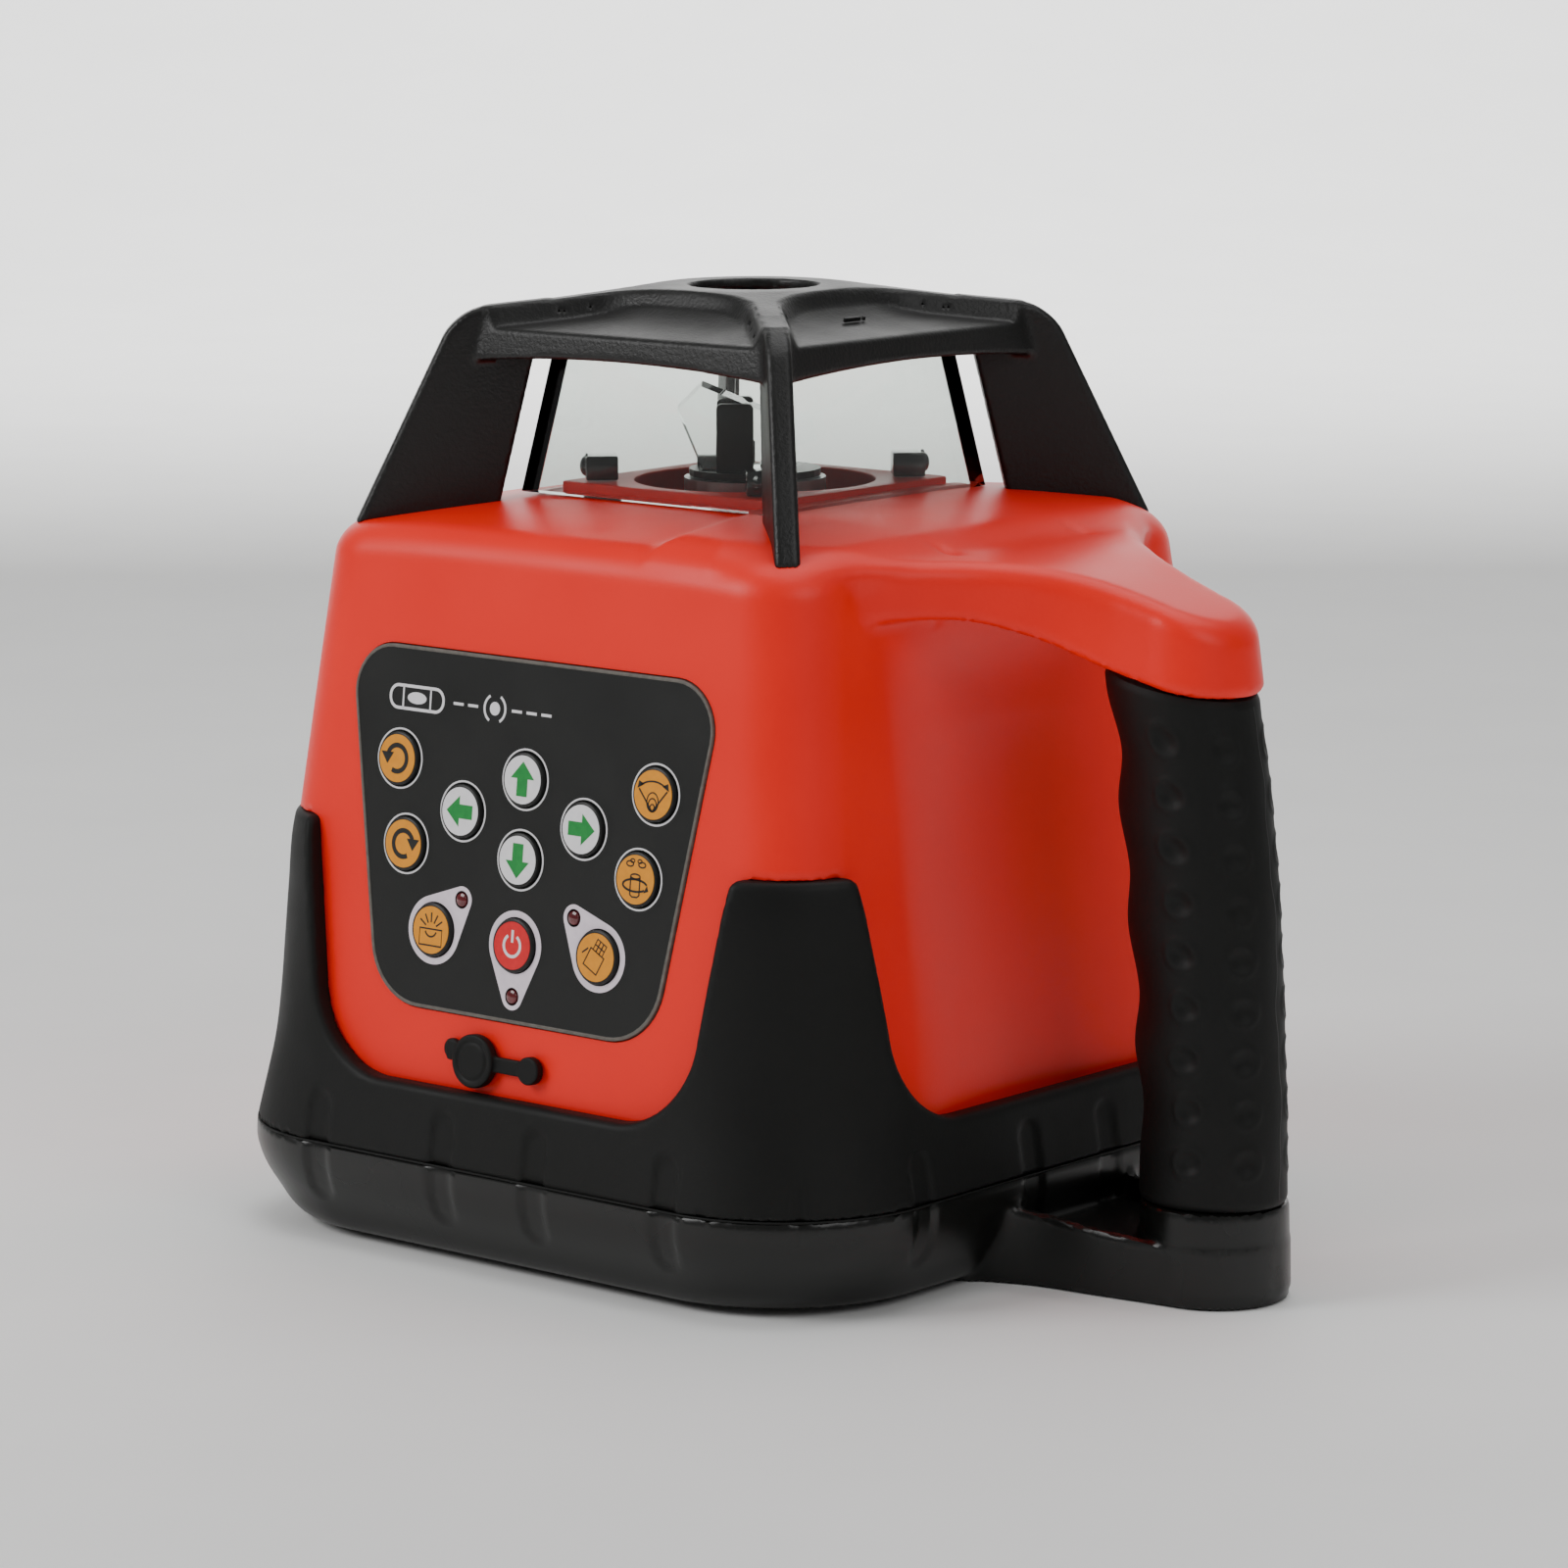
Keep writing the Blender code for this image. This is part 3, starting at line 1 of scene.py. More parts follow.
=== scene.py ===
"""Rotating laser level: the finished look of every piece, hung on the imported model.

Shapes are worked out in millimetres from the rotor's axis; the row frame is metres."""

import json
import math

import bmesh
import bpy
import numpy as np
from mathutils import Matrix, Vector


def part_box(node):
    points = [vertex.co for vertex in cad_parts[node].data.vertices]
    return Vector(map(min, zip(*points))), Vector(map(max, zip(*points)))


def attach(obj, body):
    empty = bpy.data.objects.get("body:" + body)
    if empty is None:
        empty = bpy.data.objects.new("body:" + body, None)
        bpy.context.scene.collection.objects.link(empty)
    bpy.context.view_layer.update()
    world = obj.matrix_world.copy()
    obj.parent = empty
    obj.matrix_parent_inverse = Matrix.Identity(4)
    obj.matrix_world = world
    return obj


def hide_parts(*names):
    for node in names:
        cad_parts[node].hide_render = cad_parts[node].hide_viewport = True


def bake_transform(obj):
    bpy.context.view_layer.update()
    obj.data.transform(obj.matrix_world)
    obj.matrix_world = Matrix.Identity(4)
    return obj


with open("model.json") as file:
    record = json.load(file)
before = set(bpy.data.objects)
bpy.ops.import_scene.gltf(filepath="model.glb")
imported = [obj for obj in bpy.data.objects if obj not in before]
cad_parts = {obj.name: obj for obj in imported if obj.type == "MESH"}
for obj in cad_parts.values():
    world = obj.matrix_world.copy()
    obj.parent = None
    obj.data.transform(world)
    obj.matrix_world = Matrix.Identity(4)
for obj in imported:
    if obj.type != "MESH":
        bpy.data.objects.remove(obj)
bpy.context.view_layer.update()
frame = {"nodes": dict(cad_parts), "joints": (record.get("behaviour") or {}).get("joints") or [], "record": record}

MM = 0.001


# ---------------------------------------- finishes
def linear(hex_colour):
    """An sRGB hex colour as linear RGBA."""
    channels = [int(hex_colour[i:i + 2], 16) / 255 for i in (1, 3, 5)]
    return [c / 12.92 if c <= 0.04045 else ((c + 0.055) / 1.055) ** 2.4 for c in channels] + [1.0]


def per_metre(millimetres):
    """A pattern's scale from the real width of one cell of it."""
    return 1000.0 / millimetres


def put(tree, kind, inputs, **settings):
    """Adds a node: settings are its own properties, inputs are values or sockets that feed them."""
    made = tree.nodes.new("ShaderNode" + kind)
    for name, value in settings.items():
        setattr(made, name, value)
    for name, value in inputs.items():
        if isinstance(value, bpy.types.NodeSocket):
            tree.links.new(value, made.inputs[name])
        else:
            made.inputs[name].default_value = value
    return made


def finish_named(name, inputs):
    """A new material with these shader inputs, returned with its tree, shader and place."""
    material = bpy.data.materials.new(name)
    material.use_nodes = True
    tree = material.node_tree
    shader = tree.nodes["Principled BSDF"]
    for socket, value in inputs.items():
        shader.inputs[socket].default_value = value
    place = put(tree, "TexCoord", {}).outputs["Object"]
    return material, tree, shader, place


def mottled(tree, shader, place, light, dark, size):
    """Lets the colour drift between two close shades over patches of a real size."""
    drift = put(tree, "TexNoise", {"Vector": place, "Scale": per_metre(size), "Detail": 3.0})
    ramp = put(tree, "ValToRGB", {"Fac": drift.outputs["Fac"]})
    ramp.color_ramp.elements[0].position = 0.3
    ramp.color_ramp.elements[0].color = linear(dark)
    ramp.color_ramp.elements[1].position = 0.7
    ramp.color_ramp.elements[1].color = linear(light)
    tree.links.new(ramp.outputs["Color"], shader.inputs["Base Color"])
    return drift


def uneven_gloss(tree, shader, drift, low, high):
    """Roughness that wanders with handling between two values."""
    spread = put(tree, "MapRange", {"Value": drift.outputs["Fac"], "From Min": 0.3, "From Max": 0.7,
                                    "To Min": low, "To Max": high})
    tree.links.new(spread.outputs["Result"], shader.inputs["Roughness"])


def grained(tree, shader, place, size, depth, strength=1.0):
    """Raised grain of a real width and depth in millimetres."""
    grain = put(tree, "TexNoise", {"Vector": place, "Scale": per_metre(size), "Detail": 2.0,
        "Roughness": 0.6})
    bump = put(tree, "Bump", {"Height": grain.outputs["Fac"], "Distance": depth * MM,
        "Strength": strength})
    tree.links.new(bump.outputs["Normal"], shader.inputs["Normal"])
    return grain


def moulded(name, ior, specular, shades, patch, gloss, grain):
    """Moulded plastic or rubber: close shades in patches, wandering gloss and a raised grain."""
    material, tree, shader, place = finish_named(name, {"IOR": ior, "Specular IOR Level": specular})
    drift = mottled(tree, shader, place, *shades, patch)
    uneven_gloss(tree, shader, drift, *gloss)
    grained(tree, shader, place, *grain)
    return material


def clear(name, ior, transmission, roughness, shades, patch):
    """A see-through finish whose tint drifts very slightly."""
    material, tree, shader, place = finish_named(
        name, {"IOR": ior, "Transmission Weight": transmission, "Roughness": roughness})
    mottled(tree, shader, place, *shades, patch)
    return material


def printed(name, light, dark, roughness=0.42):
    """Screen-printed ink under the film's hard coat: a solid colour with a slightly uneven lay."""
    material, tree, shader, place = finish_named(name, {"IOR": 1.5, "Roughness": roughness})
    mottled(tree, shader, place, light, dark, 1.5)
    grained(tree, shader, place, 0.5, 0.02, 0.4)
    return material


def lamp_lens():
    """Tinted acrylic lamp lens: deep red and glossy, unlit."""
    material, tree, shader, place = finish_named(
        "red_acrylic_lens", {"IOR": 1.49, "Roughness": 0.12, "Coat Weight": 0.6,
            "Coat Roughness": 0.05})
    mottled(tree, shader, place, "#6E1F24", "#501318", 2.0)
    return material


def receiver_plastic():
    """Infrared-clear polycarbonate: looks solid black with a wet gloss."""
    material, tree, shader, place = finish_named(
        "infrared_polycarbonate", {"IOR": 1.58, "Coat Weight": 0.5, "Coat Roughness": 0.04})
    drift = mottled(tree, shader, place, "#121212", "#0B0B0B", 5.0)
    uneven_gloss(tree, shader, drift, 0.14, 0.22)
    return material


def machined(name, light, dark, roughness):
    """Turned metal: fine rings round the axis from the tool's feed."""
    material, tree, shader, place = finish_named(name, {"Metallic": 1.0})
    drift = mottled(tree, shader, place, light, dark, 8.0)
    uneven_gloss(tree, shader, drift, roughness - 0.05, roughness + 0.07)
    rings = put(tree, "TexWave", {"Vector": place, "Scale": per_metre(0.9), "Distortion": 0.3},
                wave_type="RINGS", rings_direction="Z")
    bump = put(tree, "Bump", {"Height": rings.outputs["Fac"], "Distance": 0.01 * MM,
        "Strength": 0.5})
    tree.links.new(bump.outputs["Normal"], shader.inputs["Normal"])
    return material


def circuit_board():
    """Glass-epoxy board under green solder mask, with copper tracks showing as paler lines."""
    material, tree, shader, place = finish_named("solder_masked_board",
        {"IOR": 1.55, "Roughness": 0.35})
    tracks = put(tree, "TexBrick", {
        "Vector": place, "Color1": linear("#0E5A2C"), "Color2": linear("#0B4A24"),
        "Mortar": linear("#2C8A4A"),
        "Scale": per_metre(16.0), "Mortar Size": 0.02, "Brick Width": 0.5, "Row Height": 0.12})
    tree.links.new(tracks.outputs["Color"], shader.inputs["Base Color"])
    grained(tree, shader, place, 1.2, 0.04, 0.5)
    return material


def shrink_wrap():
    """Heat-shrunk PVC sleeve over the cells: blue, glossy, faintly puckered."""
    material, tree, shader, place = finish_named("shrunk_pvc_sleeve",
        {"IOR": 1.53, "Roughness": 0.22})
    mottled(tree, shader, place, "#1D4C93", "#183F7C", 9.0)
    grained(tree, shader, place, 5.0, 0.2, 0.5)
    return material


def studio_paper():
    """Matt white background paper, faintly fibrous."""
    material, tree, shader, place = finish_named("background_paper",
        {"Roughness": 0.9, "IOR": 1.45})
    mottled(tree, shader, place, "#F7F7F6", "#F4F4F3", 60.0)
    return material


# ABS injection-moulded in a spark-eroded tool: even colour, satin gloss on a fine pebble.
ORANGE = moulded("orange_abs_spark_eroded", 1.54, 0.35, ("#FF1B03", "#F91902"), 30.0,
                 gloss=(0.36, 0.46), grain=(0.55, 0.05, 0.5))
# Compression-moulded rubber: charcoal and matt, with fine pores.
RUBBER = moulded("rubber_compression_moulded", 1.52, 0.25, ("#0D0E0C", "#090A09"), 22.0,
                 gloss=(0.50, 0.64), grain=(0.7, 0.06, 0.45))
# Glass-filled nylon from a coarse etched tool: black, sparkling where it meets the light.
CAGE = moulded("nylon_coarse_etched", 1.53, 0.4, ("#10100F", "#0B0B0A"), 14.0,
               gloss=(0.36, 0.48), grain=(0.75, 0.14, 0.8))
# ABS from a polished tool: near black and glossy, with faint flow marks from moulding.
GLOSS_BLACK = moulded("black_abs_polished_tool", 1.54, 0.4, ("#0D0E0C", "#090A08"), 26.0,
                      gloss=(0.24, 0.34), grain=(1.4, 0.03, 0.4))
# Polyester keypad film with a velvet hard coat: black, with a fine even stipple.
FILM = moulded("keypad_film_velvet_coat", 1.6, 0.3, ("#0D0E0C", "#090A08"), 18.0,
               gloss=(0.38, 0.46), grain=(0.5, 0.03, 0.5))
FILM_EDGE = printed("film_cut_edge", "#6A655E", "#57524C", 0.5)
AMBER = printed("ink_amber", "#EE9A10", "#E6920C")
WHITE = printed("ink_white", "#F2F0F2", "#EAE8EB")
ROSE = printed("ink_rose_white", "#EFE3EC", "#E6D9E4")
GREEN = printed("ink_green", "#06903A", "#058234")
BLACK_INK = printed("ink_black", "#0E0D0C", "#0A0A09")
RED = printed("ink_red", "#E3101C", "#D60C17")
# Float glass with a thin grey coating: clear, a little dark, bright along its ground edges.
GLASS = clear("coated_float_glass", 1.52, 1.0, 0.0, ("#EDF1EE", "#E9EDEA"), 40.0)
# Polished optical crown glass: clear with sharp bright facets.
PRISM = clear("optical_crown_glass", 1.52, 1.0, 0.0, ("#F8FAF9", "#F5F8F6"), 40.0)
# Acrylic vial filled with dyed spirit: yellow-green and clear.
VIAL = clear("dyed_spirit_vial", 1.49, 0.85, 0.02, ("#C9E84A", "#BEE03A"), 12.0)
LAMP = lamp_lens()
RECEIVER = receiver_plastic()
BRASS = machined("brass_turned", "#D9B566", "#C9A354", 0.26)
STEEL = machined("steel_ground", "#B9BBBD", "#A9ABAE", 0.30)
ALUMINIUM = machined("aluminium_machined", "#CFD1D3", "#C0C2C5", 0.34)
BOARD = circuit_board()
WRAP = shrink_wrap()
PAPER = studio_paper()

CAD_FINISH = {
    "orange_abs": ORANGE, "black_rubber": RUBBER, "black_plastic": GLOSS_BLACK, "panel_film": FILM,
    "receiver_plastic": RECEIVER, "key_amber": AMBER, "key_green": GREEN, "key_white": WHITE,
    "lamp_red": LAMP,
    "clear_glass": GLASS, "brass": BRASS, "steel": STEEL, "aluminium": ALUMINIUM,
    "circuit_board": BOARD,
    "battery_wrap": WRAP,
}
for entry in frame["record"]["subparts"]:
    kept = frame["nodes"][entry["node"]]
    kept.data.materials.clear()
    kept.data.materials.append(CAD_FINISH[entry["material_slot"]])
for name, finish in (("pentaprism", PRISM), ("level_vial_x", VIAL), ("level_vial_y", VIAL)):
    frame["nodes"][name].data.materials[0] = finish


# ---------------------------------------- placing
cage_low, cage_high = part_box("head_cage")
AXIS = Vector(((cage_low.x + cage_high.x) / 2, 0, 0))


def box_from_axis(name):
    """A node's lowest and highest corners, in millimetres from the rotor's axis."""
    low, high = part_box(name)
    return (low - AXIS) / MM, (high - AXIS) / MM


TOP = cage_high.z / MM
SIDE = box_from_axis("base_shell")[1].y  # rotor axis to the base's widest side
FOOT_END = box_from_axis("base_shell")[1].x  # rotor axis to the end of the handle's foot
BOOT_BOTTOM = box_from_axis("rubber_boot")[0].z
BOOT_TOP = box_from_axis("rubber_boot")[1].z
CORNER = 32.0  # plan radius of the boot and base
LEAN = 0.1076  # how far a wall leans in per unit of height
DRAFT = math.atan(LEAN)
FACE_AT_FLOOR = SIDE - 2.9
WALL = 2.8
KEYPAD_Z = sum(corner.z for corner in box_from_axis("keypad_panel")) / 2


def wall_half(z):
    """Rotor axis to a housing wall at height z."""
    return FACE_AT_FLOOR - LEAN * z


KEYPAD = Matrix.Translation(AXIS + Vector((0, -wall_half(KEYPAD_Z), KEYPAD_Z)) * MM)
KEYPAD = KEYPAD @ Matrix.Rotation(math.pi / 2 - DRAFT, 4, "X")


def up_face(z):
    """Height z on the front wall, measured up the wall from the keypad's middle."""
    return (z - KEYPAD_Z) / math.cos(DRAFT)


def on_panel(name):
    """Where a key or lamp sits on the keypad, from its own box."""
    low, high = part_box(name)
    middle = KEYPAD.inverted() @ ((low + high) / 2)
    return Vector((middle.x / MM, middle.y / MM, 0))


def placed(name, data):
    """A new object in the scene."""
    made = bpy.data.objects.new(name, data)
    bpy.context.scene.collection.objects.link(made)
    return made


def stand(name, mesh, finish, body="instrument", replaces=(), place=None):
    """Puts a finished mesh in the scene, riding on its body and standing for its plain nodes."""
    piece = placed(name, mesh)
    piece.matrix_world = Matrix.Translation(AXIS) if place is None else place
    if finish is not None:
        mesh.materials.append(finish)
    if body is not None:
        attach(piece, body)
    if replaces:
        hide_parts(*replaces)
    return piece


# ---------------------------------------- moulded skins from distance fields
def square(x, y, half, radius):
    """Distance in plan to a square with round corners."""
    u = np.abs(x) - (half - radius)
    v = np.abs(y) - (half - radius)
    return np.hypot(np.maximum(u, 0), np.maximum(v, 0)) + np.minimum(np.maximum(u, v), 0) - radius


def meet(a, b, radius):
    """What lies in both fields, with the edge between them rounded."""
    outside = np.hypot(np.maximum(a + radius, 0), np.maximum(b + radius, 0))
    return np.minimum(np.maximum(a, b), -radius) + outside


def fuse(a, b, width):
    """What lies in either field, with the corner between them filled."""
    near = np.maximum(width - np.abs(a - b), 0) / width
    return np.minimum(a, b) - near * near * width / 4


def ease(value, start, end):
    """0 before start, 1 after end, smooth between."""
    t = np.clip((value - start) / (end - start), 0, 1)
    return t * t * (3 - 2 * t)


def through(t, *stations):
    """A smooth curve through (place, value) stations, level past both ends."""
    places, values = np.array(stations, float).T
    slopes = np.gradient(values, places)
    t = np.clip(t, places[0], places[-1])
    i = np.clip(np.searchsorted(places, t, side="right") - 1, 0, len(places) - 2)
    width = places[i + 1] - places[i]
    u = (t - places[i]) / width
    return (
        (2 * u**3 - 3 * u**2 + 1) * values[i] + (u**3 - 2 * u**2 + u) * width * slopes[i]
        + (3 * u**2 - 2 * u**3) * values[i + 1] + (u**3 - u**2) * width * slopes[i + 1]
    )


CUBE = np.array([(i, j, k) for i in (0, 1) for j in (0, 1) for k in (0, 1)])
CUBE_EDGES = [(a, b) for a in range(8) for b in range(a + 1, 8)
              if np.abs(CUBE[a] - CUBE[b]).sum() == 1]


def skin(name, field, low, high, cell):
    """A closed smooth mesh where the field is zero: a point in each crossed cell, drawn onto it."""
    axes = [np.arange(a - cell, b + 2 * cell, cell) for a, b in zip(low, high)]
    values = field(*np.meshgrid(*axes, indexing="ij"))
    inside = values < 0
    shape = np.array(inside.shape) - 1
    corners = [inside[i:i + shape[0], j:j + shape[1], k:k + shape[2]] for i, j, k in CUBE]
    crossed = np.any(corners, axis=0) & ~np.all(corners, axis=0)
    cells = np.argwhere(crossed)
    at = np.array([values[tuple((cells + corner).T)] for corner in CUBE])
    total = np.zeros((len(cells), 3))
    count = np.zeros(len(cells))
    for a, b in CUBE_EDGES:
        cut = (at[a] < 0) != (at[b] < 0)
        share = np.where(cut, at[a] / np.where(cut, at[a] - at[b], 1), 0)
        total += np.where(cut[:, None], CUBE[a] + share[:, None] * (CUBE[b] - CUBE[a]), 0)
        count += cut
    points = np.array([axis[0] for axis in axes]) + cell * (cells + total / count[:, None])
    index = np.full(shape, -1)
    index[crossed] = np.arange(len(cells))
    quads = []
    for axis in range(3):
        second, third = np.eye(3, dtype=int)[[(axis + 1) % 3, (axis + 2) % 3]]
        lower = np.take(inside, range(inside.shape[axis] - 1), axis)
        upper = np.take(inside, range(1, inside.shape[axis]), axis)
        edges = np.argwhere(lower != upper)
        ring = np.array([index[tuple((edges - move).T)]
                         for move in (second + third, third, 0 * third, second)]).T
        outward = lower[tuple(edges.T)]
        quads.append(np.where(outward[:, None], ring, ring[:, ::-1]))
    probe = cell * 0.1
    for _ in range(3):
        slope = np.empty_like(points)
        for axis in range(3):
            step = np.eye(3)[axis] * probe
            slope[:, axis] = (field(*(points + step).T) - field(*(points - step).T)) / (2 * probe)
        move = field(*points.T) / np.maximum((slope**2).sum(axis=1), 0.25)
        points -= slope * np.clip(move, -cell / 2, cell / 2)[:, None]
    mesh = bpy.data.meshes.new(name)
    mesh.from_pydata((points * MM).tolist(), [], np.concatenate(quads).tolist())
    mesh.shade_smooth()
    return mesh


# ---------------------------------------- meshes from outlines and profiles
def close(bm, name, angle=35):
    """A mesh from bmesh, shaded smooth except where it turns sharply."""
    bmesh.ops.recalc_face_normals(bm, faces=bm.faces)
    mesh = bpy.data.meshes.new(name)
    bm.to_mesh(mesh)
    bm.free()
    mesh.shade_smooth()
    mesh.set_sharp_from_angle(angle=math.radians(angle))
    return mesh


def arc(radius, start, end, centre=(0, 0), steps=24):
    """Points along a circle, angles in degrees."""
    return [
        Vector((centre[0] + radius * math.cos(a), centre[1] + radius * math.sin(a)))
        for a in (math.radians(start + (end - start) * i / steps) for i in range(steps + 1))
    ]


def circle(radius, centre=(0, 0), steps=48):
    """Points once round a circle."""
    return arc(radius, 0, 360, centre, steps)[:-1]


def oval(width, height, centre, steps=32):
    """Points round an upright ellipse of this half width and half height."""
    return [Vector((centre[0] + width * math.cos(a), centre[1] + height * math.sin(a)))
            for a in (2 * math.pi * i / steps for i in range(steps))]


def line(points, width, closed=False):
    """Outlines of a line of even width: one loop, or an outer and an inner one if it closes."""
    points = [Vector(point) for point in points]
    sides = ([], [])
    for i, point in enumerate(points):
        before = points[i - 1] if i or closed else point
        after = points[(i + 1) % len(points)] if closed or i + 1 < len(points) else point
        along = (after - before).normalized()
        across = Vector((-along.y, along.x)) * width / 2
        sides[0].append(point + across)
        sides[1].append(point - across)
    return [sides[0], sides[1]] if closed else [sides[0] + sides[1][::-1]]


def rounded(corners, steps=10):
    """An outline from corners (x, y, radius), each one rounded."""
    outline = []
    for i, (x, y, radius) in enumerate(corners):
        here = Vector((x, y))
        if not radius:
            outline.append(here)
            continue
        back = (Vector(corners[i - 1][:2]) - here).normalized()
        ahead = (Vector(corners[(i + 1) % len(corners)][:2]) - here).normalized()
        half_angle = back.angle(ahead) / 2
        centre = here + (back + ahead).normalized() * radius / math.sin(half_angle)
        start = here + back * radius / math.tan(half_angle) - centre
        sweep = start.angle_signed(here + ahead * radius / math.tan(half_angle) - centre)
        outline += [centre + Matrix.Rotation(-sweep * step / steps, 2) @ start
                    for step in range(steps + 1)]
    return outline


def plate(across, up, radius, steps=10):
    """A rectangle's outline with round corners, from its half width and half height."""
    corners = ((-across, -up), (across, -up), (across, up), (-across, up))
    return rounded([(x, y, radius) for x, y in corners], steps)


def sheets(name, shapes, low, high, bevel=0.0, move=(0, 0, 0)):
    """Flat shapes, each an outline with its holes, from height low to height high."""
    bm = bmesh.new()
    for outlines in shapes:
        curve = bpy.data.curves.new(name, "CURVE")
        curve.dimensions = "2D"
        curve.fill_mode = "BOTH"
        curve.extrude = (high - low) / 2 - bevel
        curve.bevel_depth = bevel
        curve.bevel_resolution = 2
        curve.offset = -bevel
        for outline in outlines:
            spline = curve.splines.new("POLY")
            spline.points.add(len(outline) - 1)
            for point, (x, y) in zip(spline.points, outline):
                point.co = (x + move[0], y + move[1], 0, 1)
            spline.use_cyclic_u = True
        drawn = placed(name, curve)
        graph = bpy.context.evaluated_depsgraph_get()
        filled = bpy.data.meshes.new_from_object(drawn.evaluated_get(graph))
        bpy.data.objects.remove(drawn)
        bm.from_mesh(filled)
        bpy.data.meshes.remove(filled)
    bmesh.ops.remove_doubles(bm, verts=bm.verts, dist=1e-4)
    bmesh.ops.translate(bm, vec=(0, 0, (low + high) / 2 + move[2]), verts=bm.verts)
    bmesh.ops.scale(bm, vec=(MM, MM, MM), verts=bm.verts)
    return close(bm, name)


def spun(name, profile, sides=64, move=(0, 0, 0)):
    """A turned piece from (radius, height) points; an end on the axis closes to a point."""
    bm = bmesh.new()
    rings = []
    for radius, height in profile:
        if radius < 1e-6:
            rings.append([bm.verts.new((0, 0, height))])
            continue
        rings.append([bm.verts.new((radius * math.cos(a), radius * math.sin(a), height))
                      for a in (2 * math.pi * i / sides for i in range(sides))])
    for lower, upper in zip(rings, rings[1:]):
        for i in range(sides):
            j = (i + 1) % sides
            ring = [loop[k % len(loop)] for loop,
                k in ((lower, i), (lower, j), (upper, j), (upper, i))]
            bm.faces.new(list(dict.fromkeys(ring)))
    bmesh.ops.translate(bm, vec=move, verts=bm.verts)
    bmesh.ops.scale(bm, vec=(MM, MM, MM), verts=bm.verts)
    return close(bm, name)


def bar(name, low, high, bevel, steps=3):
    """A block with rounded edges."""
    low = Vector(low)
    high = Vector(high)
    bm = bmesh.new()
    bmesh.ops.create_cube(bm, size=1.0)
    bmesh.ops.scale(bm, vec=(high - low), verts=bm.verts)
    bmesh.ops.translate(bm, vec=(low + high) / 2, verts=bm.verts)
    bmesh.ops.bevel(bm, geom=bm.edges[:], offset=bevel, segments=steps, affect="EDGES", profile=0.5)
    bmesh.ops.scale(bm, vec=(MM, MM, MM), verts=bm.verts)
    return close(bm, name)


def together(name, *meshes):
    """Several meshes as one; each may come with a matrix that moves it, in millimetres."""
    bm = bmesh.new()
    for given in meshes:
        mesh, move = given if isinstance(given, tuple) else (given, None)
        if move is not None:
            mesh.transform(Matrix.Scale(MM, 4) @ move @ Matrix.Scale(1 / MM, 4))
        bm.from_mesh(mesh)
        bpy.data.meshes.remove(mesh)
    joined = bpy.data.meshes.new(name)
    bm.to_mesh(joined)
    bm.free()
    return joined


def carve(mesh, *cutters):
    """Cuts crisp openings in a mesh with closed cutter meshes, in the same coordinates."""
    work = placed(mesh.name, mesh)
    tools = []
    for cutter in cutters:
        other = placed("cutter", cutter)
        step = work.modifiers.new("cut", "BOOLEAN")
        step.operation = "DIFFERENCE"
        step.solver = "MANIFOLD"
        step.object = other
        tools.append(other)
    graph = bpy.context.evaluated_depsgraph_get()
    cut = bpy.data.meshes.new_from_object(work.evaluated_get(graph))
    for other in [work] + tools:
        bpy.data.objects.remove(other)
    cut.name = mesh.name
    cut.materials.clear()
    cut.shade_smooth()
    cut.set_sharp_from_angle(angle=math.radians(38))
    return cut


def keypad_cutter(name, outline, low, high):
    """A prism square to the front wall, in housing coordinates."""
    prism = sheets(name, [[outline]], low, high)
    prism.transform(Matrix.Translation(-AXIS) @ KEYPAD)
    return prism


# ---------------------------------------- housing
WELL = 22.7  # radius of the hole through the deck
VALLEY_FOOT = 34.5  # lowest point between two of the boot's fangs
ARM_END = 107.0  # where the arm turns into its round end
ARM_END_RADIUS = 13.6
FOOT_ROUND = 113.6  # middle of the foot's round end
FOOT_ROUND_RADIUS = 14.3


def valley(across, z):
    """The gap between two of the boot's corner fangs; negative inside."""
    half = 46.5 + (z - VALLEY_FOOT) * 0.157
    return meet((np.abs(across) - half) * 0.988, VALLEY_FOOT - z, 16.0)


def arm_field(x, y, z):
    """The arm over the grip: wide at the deck, falling to a blunt end that leans in as it rises."""
    stations = ((40, 56.0), (58, 47.0), (66, 40.0), (70.5, 33.5), (75, 28.0), (85, 20.0),
        (98, 15.6),
                (ARM_END, ARM_END_RADIUS))
    half = through(x, *stations)
    slope = through(x + 0.5, *stations) - through(x - 0.5, *stations)
    side = (np.abs(y) - half) / np.sqrt(1 + slope**2)
    side = np.where(x < ARM_END, side, np.hypot(x - ARM_END, y) - ARM_END_RADIUS)
    side = side + 0.12 * (z - 116) * ease(x, 80, 100)
    top = through(x, (40, 141.0), (62, 139.4), (75, 138.7), (82, 138.0), (93, 135.9), (101, 133.7),
        (108.6, 131.4),
                  (114, 129.6), (123, 126.0))
    under = through(x, (40, 124.0), (60, 127.0), (66, 128.0), (75, 127.6), (82, 125.4), (97, 119.7),
        (106, 117.1),
                    (112, 115.7), (120, 114.5))
    arm = meet(meet(side, z - top, 3.6), under - z, 1.8)
    return np.maximum(arm, 30 - x)


